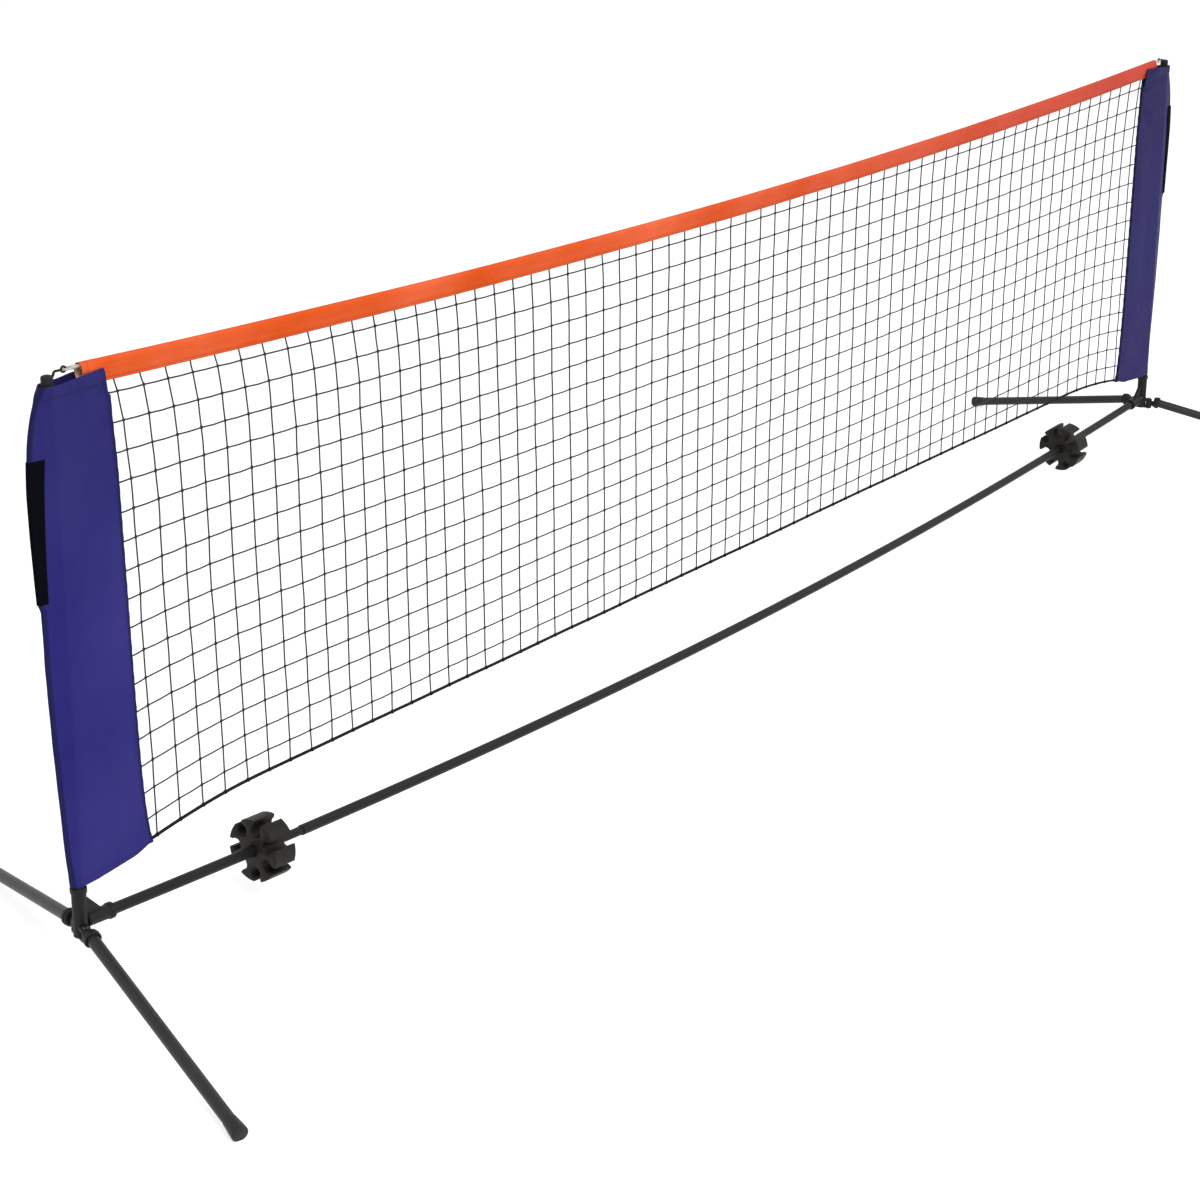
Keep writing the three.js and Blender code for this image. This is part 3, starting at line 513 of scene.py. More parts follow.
POWDER_COAT = HardFinish(
    "sprayed_steel", "powder_coat", (0.030, 0.030, 0.030), 0.4, 0.0007, 0.00005, 0.35, 0.22
)
BAR_COAT = HardFinish(
    "sprayed_bar_steel", "bar_coat", (0.011, 0.011, 0.011), 0.42, 0.0007, 0.00005, 0.35, 0.16
)
MOULDED_BLACK = HardFinish(
    "matt_black_moulding", "moulded_black", (0.013, 0.013, 0.014), 0.5, 0.0005, 0.00004, 0.25, 0.18
)
# A lighter copy of the black moulding for the foot caps: painted highlight standing in for the light stripe along them.
FOOT_BLACK_HIGHLIGHTED = HardFinish(
    "soft_black_moulding", "moulded_black", (0.026, 0.026, 0.026), 0.45, 0.0005, 0.00004, 0.3, 0.2
)
CLIP_PLASTIC = HardFinish(
    "brown_black_moulding", "clip_plastic", (0.0125, 0.0108, 0.0082), 0.5, 0.0005, 0.00004, 0.25, 0.18
)
RIVET_STEEL = HardFinish(
    "plain_rivet_steel", "rivet_steel", (0.10, 0.10, 0.105), 0.38, 0.0006, 0.00003, 0.6, metallic=1.0
)
NET_THREAD = CordFinish("grey_mesh_thread", "net_thread", (0.060, 0.060, 0.066), 0.0011, 0.0002, 0.6)
WHITE_ROPE = CordFinish("braided_white", "white_rope", (0.80, 0.79, 0.72), 0.0022, 0.0006, 0.62)
BLACK_CORD = CordFinish("laid_black", "black_cord", (0.010, 0.010, 0.012), 0.0020, 0.0005, 0.5)
HOOK_AND_LOOP = HookLoopFinish("hook_and_loop", "hook_loop", (0.0035, 0.0042, 0.0070), 0.0009)
ORANGE_TAPE = ClothFinish(
    name="woven_orange",
    slot="orange_tape",
    colour=(0.93, 0.122, 0.020),
    far_colour=(0.74, 0.080, 0.041),
    far_from=-0.3,
    far_to=1.3,
    roughness=0.55,
    thread_pitch=0.0007,
    weave_depth=0.00006,
    sheen=0.02,
    hem_shade=0.94,
    across_rows=(0.0035, 0.0635),
    along_rows=(0.010, 2.9505),
    stitch_pitch=0.0042,
    stitch_colour=(0.60, 0.10, 0.03),
    hem_across=((-0.01, 0.0075), (0.0595, 0.08)),
    hem_along=((-0.01, 0.012), (2.9485, 3.1)),
)
# The back face of the tape is pale peach: painted highlight for the bright inside of the tape's open ends.
TAPE_BACK_HIGHLIGHT = replace(
    ORANGE_TAPE,
    name="pale_lining",
    colour=(0.88, 0.52, 0.40),
    far_colour=(0.88, 0.52, 0.40),
    far_from=-1.4,
    far_to=1.4,
    roughness=0.6,
    across_rows=(),
    along_rows=(),
    hem_across=(),
    hem_along=(),
)


# ------------------------------------------------------------------ modelling helpers


def piece_from(name: str, mesh: Shape, smooth_below: float = 38.0) -> Piece:
    """Turns a finished bmesh into an object at the origin.

    Args:
        name: The piece's name.
        mesh: The shape, which is freed.
        smooth_below: Edges that turn by less than this many degrees are shaded smooth.

    Returns:
        The new object, linked to the scene.
    """
    data = bpy.data.meshes.new(name)
    mesh.to_mesh(data)
    mesh.free()
    data.polygons.foreach_set("use_smooth", [True] * len(data.polygons))
    data.set_sharp_from_angle(angle=math.radians(smooth_below))
    piece = bpy.data.objects.new(name, data)
    bpy.context.scene.collection.objects.link(piece)
    return piece


def settle(piece: Piece, body: str, finish: Finish, node: str) -> Piece:
    """Dresses a piece and ties it to the frame.

    Args:
        piece: The piece, in place.
        body: The CAD body that it rides on.
        finish: Its finish, which is added where it has none yet.
        node: The CAD node that it stands for.

    Returns:
        The piece.
    """
    if not piece.data.materials:
        piece.data.materials.append(finish.material())
    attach(piece, body)
    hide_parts(node)
    LOG.info("%s: %d faces, rides on %s", piece.name, len(piece.data.polygons), body)
    return piece


def outward(mesh: Shape) -> Shape:
    """Turns every face of a shape outwards, and returns it."""
    bmesh.ops.recalc_face_normals(mesh, faces=mesh.faces[:])
    return mesh


def of_kind(items: Iterable[object], kind: type) -> list:
    """The elements of one kind among those that an operator made."""
    return [item for item in items if isinstance(item, kind)]


def facing(start: Vector, end: Vector) -> Matrix:
    """The transform that takes local +Z from the origin to the line from start to end."""
    turn = (end - start).to_track_quat("Z", "Y").to_matrix().to_4x4()
    return Matrix.Translation(start) @ turn


def spun(profile: Sequence[Point], sides: int, place: Matrix | None = None) -> Shape:
    """A solid of revolution.

    Args:
        profile: Radius and height of each corner; it is closed where the first is the last.
        sides: How many faces go round.
        place: Where local +Z goes.

    Returns:
        The closed shape.
    """
    mesh = bmesh.new()
    closed = profile[0] == profile[-1]
    corners = profile[:-1] if closed else profile
    verts = [mesh.verts.new((radius, 0.0, height)) for radius, height in corners]
    pairs = list(zip(verts, verts[1:]))
    if closed:
        pairs.append((verts[-1], verts[0]))
    edges = [mesh.edges.new(pair) for pair in pairs]
    bmesh.ops.spin(mesh, geom=[*verts, *edges], axis=(0, 0, 1), angle=FULL_TURN, steps=sides, use_merge=True)
    bmesh.ops.remove_doubles(mesh, verts=mesh.verts[:], dist=1e-6)
    outward(mesh)
    if place is not None:
        mesh.transform(place)
    return mesh


@dataclass(frozen=True)
class Station:
    """A round section of a swept body: its centre and radius."""

    centre: Vector
    radius: float


def swept(stations: Sequence[Station], sides: int, closed: bool = False) -> Shape:
    """A round body that follows a line, with a UV map in metres round and along it.

    Args:
        stations: The sections, from one end to the other.
        sides: How many faces go round.
        closed: Whether the last section joins the first, as in a ring.

    Returns:
        The closed shape.
    """
    mesh = bmesh.new()
    frames = _frames(stations, closed)
    lengths = [0.0]
    for before, after in zip(stations, stations[1:]):
        lengths.append(lengths[-1] + (after.centre - before.centre).length)
    ring = bmesh.ops.create_circle(mesh, cap_ends=False, radius=1.0, segments=sides, matrix=frames[0])["verts"]
    edges = list({edge for vert in ring for edge in vert.link_edges})
    reach = {vert: 0 for vert in ring}
    first = edges
    for index, (before, after) in enumerate(zip(frames, frames[1:]), start=1):
        made = bmesh.ops.extrude_edge_only(mesh, edges=edges)["geom"]
        ring = of_kind(made, Vert)
        edges = [edge for edge in of_kind(made, Edge) if set(ring).issuperset(edge.verts)]
        bmesh.ops.transform(mesh, matrix=after @ before.inverted(), verts=ring)
        reach.update(dict.fromkeys(ring, index))
    layer = mesh.loops.layers.uv.new(UV_LAYER)
    radius = max(station.radius for station in stations)
    for face in mesh.faces:
        _map_side(face, layer, frames, reach, lengths, radius)
    if closed:
        bmesh.ops.bridge_loops(mesh, edges=[*first, *edges])
    else:
        bmesh.ops.holes_fill(mesh, edges=mesh.edges[:], sides=0)
    return outward(mesh)


def _frames(stations: Sequence[Station], closed: bool) -> list[Matrix]:
    """Section frames along the stations that don't twist, each scaled by its radius."""
    centres = [station.centre for station in stations]
    count = len(centres)
    frames: list[Matrix] = []
    turn = None
    heading = None
    for index, station in enumerate(stations):
        before = centres[index - 1] if index or closed else centres[0]
        after = centres[(index + 1) % count] if index + 1 < count or closed else centres[-1]
        if (after - before).length < 1e-9:
            direction = heading or Vector((1, 0, 0))
        else:
            direction = (after - before).normalized()
        if turn is None:
            turn = direction.to_track_quat("Z", "Y")
        else:
            turn = heading.rotation_difference(direction) @ turn
        heading = direction
        frames.append(Matrix.Translation(station.centre) @ turn.to_matrix().to_4x4() @ Matrix.Scale(station.radius, 4))
    return frames


def _map_side(
    face: bmesh.types.BMFace,
    layer: bmesh.types.BMLayerItem,
    frames: Sequence[Matrix],
    reach: dict[Vert, int],
    lengths: Sequence[float],
    radius: float,
) -> None:
    """Maps one side face of a swept body.

    Args:
        face: The face.
        layer: The UV layer.
        frames: The section frames.
        reach: Which section each vertex is on.
        lengths: How far along each section is.
        radius: The radius that turns are measured at.
    """
    shares = []
    for loop in face.loops:
        local = frames[reach[loop.vert]].inverted() @ loop.vert.co
        shares.append(math.atan2(local.y, local.x) / FULL_TURN % 1.0)
    if max(shares) - min(shares) > 0.5:
        shares = [share + 1.0 if share < 0.5 else share for share in shares]
    for loop, share in zip(face.loops, shares):
        loop[layer].uv = (share * FULL_TURN * radius, lengths[reach[loop.vert]])


def hull_plate(points: Iterable[tuple[float, float, float]], thickness: float, round_by: float) -> Shape:
    """A flat plate round circles.

    Args:
        points: Centre X, centre Y and radius of each circle.
        thickness: Its thickness, centred on Z = 0.
        round_by: How much its edges are rounded.

    Returns:
        The closed shape.
    """
    mesh = bmesh.new()
    for x, y, radius in points:
        for level in (-0.5, 0.5):
            place = Matrix.Translation((x, y, level * thickness))
            bmesh.ops.create_circle(mesh, cap_ends=False, radius=radius, segments=32, matrix=place)
    hull = bmesh.ops.convex_hull(mesh, input=mesh.verts[:])
    spare = of_kind(hull["geom_interior"] + hull["geom_unused"], Vert)
    bmesh.ops.delete(mesh, geom=spare, context="VERTS")
    bmesh.ops.dissolve_limit(mesh, angle_limit=math.radians(1), verts=mesh.verts[:], edges=mesh.edges[:])
    round_edges(outward(mesh), round_by, 50)
    return mesh


def round_edges(mesh: Shape, offset: float, above: float, segments: int = 2) -> None:
    """Bevels the edges that turn by more than an angle, in degrees."""
    limit = math.radians(above)
    sharp = [edge for edge in mesh.edges if len(edge.link_faces) == 2 and edge.calc_face_angle(0.0) > limit]
    settings = {"offset_type": "OFFSET", "profile": 0.5, "affect": "EDGES", "material": -1, "clamp_overlap": True}
    bmesh.ops.bevel(mesh, geom=sharp, offset=offset, segments=segments, **settings)


def combined(base: Shape, others: Sequence[Shape], join: Join, name: str) -> Shape:
    """Combines closed shapes exactly.

    Args:
        base: The first shape, which is freed.
        others: The others, which are freed.
        join: Whether they are joined to it or cut out of it.
        name: A name for the work objects.

    Returns:
        The result as a new bmesh.
    """
    work = piece_from(f"{name}_work", base)
    tools = [piece_from(f"{name}_tool", other) for other in others]
    for tool in tools:
        modifier = work.modifiers.new("join", "BOOLEAN")
        modifier.operation = join.value
        modifier.solver = "EXACT"
        modifier.object = tool
    apply_modifiers(work)
    result = bmesh.new()
    result.from_mesh(work.data)
    for spare in (work, *tools):
        data = spare.data
        bpy.data.objects.remove(spare)
        bpy.data.meshes.remove(data)
    bmesh.ops.remove_doubles(result, verts=result.verts[:], dist=2e-6)
    return result


def gathered(parts: Sequence[Shape]) -> Shape:
    """Puts several shapes in one bmesh, and frees them."""
    whole = bmesh.new()
    whole.loops.layers.uv.new(UV_LAYER)
    for part in parts:
        data = bpy.data.meshes.new("part")
        part.to_mesh(data)
        part.free()
        whole.from_mesh(data)
        bpy.data.meshes.remove(data)
    return whole


Surface = Callable[[float, float], tuple[Vector, Point]]


def draped(columns: int, rows: int, surface: Surface, closed: bool = False) -> Shape:
    """A cloth sheet with a UV map in metres.

    Args:
        columns: How many faces go across it.
        rows: How many faces go along it.
        surface: Gives the place and the flat place of a share across and a share along.
        closed: Whether its first column is sewn to its last.

    Returns:
        The sheet, one face thick.
    """
    mesh = bmesh.new()
    bmesh.ops.create_grid(mesh, x_segments=columns, y_segments=rows, size=1.0)
    layer = mesh.loops.layers.uv.new(UV_LAYER)
    flat: dict[Vert, Point] = {}
    for vert in mesh.verts:
        place, flat[vert] = surface((vert.co.x + 1) / 2, (vert.co.y + 1) / 2)
        vert.co = place
    for face in mesh.faces:
        for loop in face.loops:
            loop[layer].uv = flat[loop.vert]
    if closed:
        bmesh.ops.remove_doubles(mesh, verts=mesh.verts[:], dist=1e-6)
    return outward(mesh)


def thicken(piece: Piece, thickness: float, offset: float, lining: int = 0) -> None:
    """Gives a sheet its thickness with a Solidify modifier, and applies it.

    Args:
        piece: The sheet.
        thickness: How thick it becomes.
        offset: Which side grows: -1 the back, 0 both, 1 the front.
        lining: How many material slots further its back finds its material.
    """
    modifier = piece.modifiers.new("thickness", "SOLIDIFY")
    modifier.thickness = thickness
    modifier.offset = offset
    modifier.use_even_offset = False
    modifier.use_rim = True
    modifier.material_offset = lining
    apply_modifiers(piece)


def apply_modifiers(piece: Piece) -> None:
    """Replaces a piece's mesh by the one that its modifiers make."""
    bpy.context.view_layer.update()
    graph = bpy.context.evaluated_depsgraph_get()
    evaluated = piece.evaluated_get(graph)
    made = bpy.data.meshes.new_from_object(evaluated, preserve_all_data_layers=True, depsgraph=graph)
    old = piece.data
    piece.modifiers.clear()
    piece.data = made
    made.name = piece.name
    bpy.data.meshes.remove(old)


def wobble(*place: float, scale: float, seed: float = 0.0) -> float:
    """Smooth noise from about -1 to 1 at a place, where scale is the size of its waves."""
    x, y, z = (*place, 0.0, 0.0)[:3]
    return noise.noise(Vector((x / scale + seed, y / scale + 1.7 * seed, z / scale - seed)))


def even_ramp(value: float, low: float, high: float) -> float:
    """Rises evenly from 0 to 1 between two values."""
    return min(1.0, max(0.0, (value - low) / (high - low)))


def smooth_step(value: float, low: float, high: float) -> float:
    """Rises smoothly from 0 to 1 between two values."""
    share = even_ramp(value, low, high)
    return share * share * (3 - 2 * share)


def turned_at(middle: Vector, radius: float, wire: float, second: Vector, count: int) -> list[Station]:
    """The stations of a round ring.

    Args:
        middle: Its middle.
        radius: The radius of its axis.
        wire: The radius of its section.
        second: The direction a quarter of a turn from +X.
        count: How many stations there are.

    Returns:
        The stations, once round.
    """
    turns = (step * FULL_TURN / count for step in range(count))
    return [
        Station(middle + (Vector((math.cos(turn), 0, 0)) + second * math.sin(turn)) * radius, wire) for turn in turns
    ]


def socket_profile(
    barrel: float, ring: float, ring_length: float, bore: float, length: float, floor: float, back: float = 0.0
) -> list[Point]:
    """The section of a socket with a thick mouth.

    Args:
        barrel: Its radius.
        ring: The radius of its mouth.
        ring_length: How long the mouth is.
        bore: The radius of its bore.
        length: The height of its mouth's end.
        floor: Where its bore begins.
        back: Where its solid begins.

    Returns:
        Radius and height of each corner.
    """
    lip = length - ring_length
    soft = 0.0008
    return [
        (0.0, back),
        (barrel - 2 * soft, back),
        (barrel, back + 2 * soft),
        (barrel, lip - soft),
        (ring - soft / 2, lip),
        (ring, lip + soft),
        (ring, length - soft),
        (ring - soft, length),
        (bore + soft, length),
        (bore, length - soft),
        (bore, floor),
        (0.0, floor),
    ]


# ------------------------------------------------------------------ shared geometry of the net


@dataclass
class Layout:
    """Sizes and curves that several sub-assemblies share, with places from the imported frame."""

    frame: dict
    tube_radius: float = 0.008
    bore_radius: float = 0.0083
    leg_radius: float = 0.009
    leg_bore: float = 0.0093
    hub_height: float = 0.1065
    post_top: float = 0.851
    post_lean: float = 0.021
    pivot_offset: float = 0.017
    hinge_drop: float = 0.011
    net_sag: float = 0.038
    tape_height: float = 0.031
    tape_nose: float = 0.0044
    cord_straight: float = 1.18
    cord_drop: float = 0.022
    cord_cover: float = 0.0026
    seam: float = 1.425
    half_span: float = field(init=False)
    net_top: float = field(init=False)
    cord_height: float = field(init=False)
    bar_rise: float = field(init=False)
    bar_low: float = field(init=False)
    joints: dict[str, dict] = field(init=False)

    def __post_init__(self) -> None:
        """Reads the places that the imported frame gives."""
        self.joints = {joint["name"]: joint for joint in self.frame["joints"]}
        pins = [self.joints[f"right_{end}_leg_swivel"]["pos_m"][0] for end in ("front", "rear")]
        self.half_span = sum(pins) / 2
        _, tape_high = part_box("top_tape")
        self.net_top = tape_high.z + self.net_sag * (1 - (tape_high.x / self.half_span) ** 2)
        _, cord_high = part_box("bottom_cord")
        self.cord_height = cord_high.z - self.cord_cover
        clip = self.joints["right_clip_turn"]
        slope = clip["axis"][2] / clip["axis"][0]
        self.bar_rise = slope / (2 * clip["pos_m"][0])
        self.bar_low = clip["pos_m"][2] - self.bar_rise * clip["pos_m"][0] ** 2

    def pivot(self, leg: Leg) -> Vector:
        """The place of a leg's hinge."""
        return Vector(self.joints[f"{leg.value}_leg_swivel"]["pos_m"])

    def bar_point(self, x: float) -> Vector:
        """A point on the bent axis of the ground bar."""
        return Vector((x, 0.0, self.bar_low + self.bar_rise * x * x))

    def post_point(self, side: Side, height: float) -> Vector:
        """A point on the leaning axis of a post."""
        lean = self.post_lean * (height - self.hub_height) / (self.post_top - self.hub_height)
        return Vector((side.value * (self.half_span - lean), 0.0, height))

    def tape_top(self, x: float) -> float:
        """Height of the tape's upper edge."""
        return self.net_top - self.net_sag * (1 - (x / self.half_span) ** 2)

    def rope_height(self, x: float) -> float:
        """Height of the top rope's axis."""
        return self.tape_top(x) - self.tape_nose

    def cord_axis(self, x: float) -> float:
        """Height of the bottom cord's axis: level, then falling to the sleeves."""
        beyond = max(0.0, abs(x) - self.cord_straight) / (self.seam - self.cord_straight)
        return self.cord_height - self.cord_drop * beyond**2


# ------------------------------------------------------------------ frame: hubs, posts, bar


@dataclass
class Hub:
    """The moulded corner piece with its post socket, bar socket, gusset and lugs."""

    layout: Layout
    side: Side
    socket_radius: float = 0.0102
    ring_radius: float = 0.0116
    ring_length: float = 0.008
    post_socket: float = 0.0525
    foot: float = 0.021
    bar_socket: float = 0.055
    bar_stop: float = 0.0117
    gusset_thickness: float = 0.006
    gusset_reach: float = 0.038
    gusset_rise: float = 0.038
    lug_gap: float = 0.0100
    lug_thickness: float = 0.005
    lug_radius: float = 0.007
    lug_turn: float = math.radians(18)
    sides: int = 40

    def _socket(self, start: Vector, end: Vector, floor: float, back: float) -> Shape:
        """A socket with a thick mouth.

        Args:
            start: The point on its axis that distances are measured from.
            end: The middle of its mouth.
            floor: Where its bore begins.
            back: Where its solid begins.

        Returns:
            The closed shape.
        """
        sizes = (self.socket_radius, self.ring_radius, self.ring_length, self.layout.bore_radius)
        return spun(socket_profile(*sizes, (end - start).length, floor, back), self.sides, facing(start, end))

    def _gusset(self) -> Shape:
        """The web between the two sockets."""
        sign = self.side.value
        axis = sign * self.layout.half_span
        base = self.layout.hub_height
        near = axis - sign * (self.layout.bore_radius + 0.001)
        far = axis - sign * self.gusset_reach
        corners = [
            (near, base),
            (far, base - 0.002),
            (far, base + self.socket_radius - 0.004),
            (near, base + self.gusset_rise),
        ]
        mesh = bmesh.new()
        verts = [mesh.verts.new((x, -self.gusset_thickness / 2, z)) for x, z in corners]
        face = mesh.faces.new(verts)
        made = bmesh.ops.extrude_face_region(mesh, geom=[face])["geom"]
        bmesh.ops.translate(mesh, vec=(0, self.gusset_thickness, 0), verts=of_kind(made, Vert))
        round_edges(outward(mesh), 0.0012, 50)
        return mesh

    def build(self) -> Piece:
        """Builds and dresses the hub."""
        layout, side = self.layout, self.side
        base = layout.hub_height
        slope = 2 * layout.bar_rise * layout.half_span
        bar_start = Vector((side.value * layout.half_span, 0, base))
        run = Vector((-side.value, 0, -slope)) * self.bar_socket
        post = self._socket(
            layout.post_point(side, base - self.foot),
            layout.post_point(side, base + self.post_socket),
            self.foot - 0.006,
            0.0,
        )
        bar = self._socket(bar_start, bar_start + run, self.bar_stop, layout.bore_radius + 0.0012)
        lugs = []
        for way in (-1, 1):
            height = base - layout.hinge_drop + way * (self.lug_gap + self.lug_thickness) / 2
            ends = [(0.0, across * layout.pivot_offset, self.lug_radius) for across in (-1, 1)]
            lug = hull_plate(ends, self.lug_thickness, 0.0009)
            turned = Matrix.Rotation(side.value * self.lug_turn, 4, "Z")
            lug.transform(Matrix.Translation((side.value * layout.half_span, 0, height)) @ turned)
            lugs.append(lug)
        name = f"{side.label}_hub_moulding"
        piece = piece_from(name, combined(post, [bar, self._gusset(), *lugs], Join.UNION, name))
        return settle(piece, FRAME_BODY, MOULDED_BLACK, f"{side.label}_hub")


@dataclass
class Post:
    """The leaning tube, with the plug, head and wire hook at its top."""

    layout: Layout
    side: Side
    wall: float = 0.001
    socket_depth: float = 0.0057
    cap_radius: float = 0.0080
    plug_radius: float = 0.0067
    cap_band: float = 0.0095
    cap_dome: float = 0.0035
    hook_reach: float = 0.027
    wire_radius: float = 0.0017
    eye_radius: float = 0.0037
    eye_wire: float = 0.0014
    sides: int = 40

    def build_tube(self) -> Piece:
        """Builds and dresses the tube."""
        layout = self.layout
        start = layout.post_point(self.side, layout.hub_height - self.socket_depth)
        end = layout.post_point(self.side, layout.post_top)
        shape = open_tube(start, end, layout.tube_radius, self.wall, self.sides)
        piece = piece_from(f"{self.side.label}_post_tube", shape)
        return settle(piece, FRAME_BODY, POWDER_COAT, f"{self.side.label}_post")

    def build_cap(self) -> Piece:
        """Builds and dresses the cap with its hook."""
        layout, sign = self.layout, self.side.value
        seat = layout.post_point(self.side, layout.post_top)
        above = layout.post_point(self.side, layout.post_top + self.cap_band)
        soft = 0.0007
        angles = [step * math.pi / 16 for step in range(8)]
        dome = [(self.cap_radius * math.cos(turn), self.cap_band + self.cap_dome * math.sin(turn)) for turn in angles]
        profile = [
            (0.0, -0.02),
            (self.plug_radius, -0.02),
            (self.plug_radius, 0.0003),
            (self.cap_radius - soft, 0.0003),
            (self.cap_radius, 0.0003 + soft),
            *dome,
            (0.0, self.cap_band + self.cap_dome),
        ]
        head = spun(profile, self.sides, facing(seat, above))
        eye = Vector((sign * (layout.half_span - layout.post_lean - self.hook_reach), 0, 0))
        eye.z = layout.rope_height(eye.x)
        inward = Vector((-sign, 0, 0))
        root = seat.lerp(above, 0.75)
        tip = eye - inward * self.eye_radius
        bend = Vector((root.x, 0, eye.z)) + inward * (self.cap_radius + 0.0045)
        stations = [
            Station(root + inward * self.cap_radius * 0.4, self.wire_radius * 1.3),
            Station(root + inward * (self.cap_radius - 0.0006) + Vector((0, 0, 0.0008)), self.wire_radius * 1.3),
            Station(root.lerp(bend, 0.55) + inward * 0.0035 + Vector((0, 0, -0.0004)), self.wire_radius * 1.1),
            Station(bend, self.wire_radius),
            Station(bend.lerp(tip, 0.6), self.wire_radius),
            Station(tip + inward * 0.0008, self.wire_radius * 0.95),
        ]
        arm = swept(smoothed(stations, 4), 14)
        ring = swept(turned_at(eye, self.eye_radius, self.eye_wire, Vector((0, 0, 1)), 28), 12, closed=True)
        shape = combined(head, [arm, ring], Join.UNION, f"{self.side.label}_cap")
        piece = piece_from(f"{self.side.label}_post_head", shape)
        return settle(piece, FRAME_BODY, MOULDED_BLACK, f"{self.side.label}_post_cap")


def smoothed(stations: Sequence[Station], steps: int) -> list[Station]:
    """Puts more stations between the given ones, on a smooth curve through them."""
    made: list[Station] = []
    count = len(stations)
    for index in range(count - 1):
        before, start, end, after = (stations[min(count - 1, max(0, index + shift))] for shift in (-1, 0, 1, 2))
        for step in range(steps):
            share = step / steps
            centre = _catmull(before.centre, start.centre, end.centre, after.centre, share)
            made.append(Station(centre, start.radius + (end.radius - start.radius) * share))
    made.append(stations[-1])
    return made


def _catmull(before: Vector, start: Vector, end: Vector, after: Vector, share: float) -> Vector:
    """A point on the Catmull-Rom curve between start and end."""
    return 0.5 * (
        2 * start
        + (end - before) * share
        + (2 * before - 5 * start + 4 * end - after) * share**2
        + (3 * start - before - 3 * end + after) * share**3
    )


def open_tube(start: Vector, end: Vector, radius: float, wall: float, sides: int) -> Shape:
    """A straight tube with slightly rounded ends."""
    length = (end - start).length
    soft = 0.0003
    inner = radius - wall
    profile = [
        (radius - soft, 0.0),
        (radius, soft),
        (radius, length - soft),
        (radius - soft, length),
        (inner, length),
        (inner, 0.0),
        (radius - soft, 0.0),
    ]
    return spun(profile, sides, facing(start, end))


@dataclass
class GroundBar:
    """The five plugged tubes between the hubs, on one bent line."""

    layout: Layout
    spigot_radius: float = 0.0067
    open_joint: float = 0.052
    closed_joint: float = 0.0003
    sides: int = 32
    names: tuple[str, ...] = ("left_end", "left_middle", "centre", "right_middle", "right_end")

    def _tube(self, name: str) -> Piece:
        """Builds one tube between the ends of its CAD node."""
        low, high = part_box(f"bar_{name}_tube")
        last = name == self.names[-1]
        body_end = high.x if last else self._shoulder(name)
        soft = 0.0004
        radius = self.layout.tube_radius
        places = [(low.x, radius - soft), (low.x + soft, radius)]
        steps = 24
        places += [(low.x + (body_end - low.x) * step / steps, radius) for step in range(1, steps)]
        places += [(body_end - soft, radius), (body_end, radius - soft)]
        if not last:
            tip = high.x
            places += [
                (body_end + 0.0001, self.spigot_radius),
                ((body_end + tip) / 2, self.spigot_radius),
                (tip - 0.001, self.spigot_radius),
                (tip, self.spigot_radius - 0.0008),
            ]
        stations = [Station(self.layout.bar_point(x), size) for x, size in places]
        piece = piece_from(f"bar_{name}_steel", swept(stations, self.sides))
        return settle(piece, FRAME_BODY, BAR_COAT, f"bar_{name}_tube")

    def _shoulder(self, name: str) -> float:
        """Where a tube's full width ends: just before the next one, or short of it at the open joint."""
        following = self.names[self.names.index(name) + 1]
        start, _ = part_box(f"bar_{following}_tube")
        return start.x - (self.open_joint if name == self.names[0] else self.closed_joint)

    def build(self) -> list[Piece]:
        """Builds and dresses the five tubes."""
        return [self._tube(name) for name in self.names]


# ------------------------------------------------------------------ legs


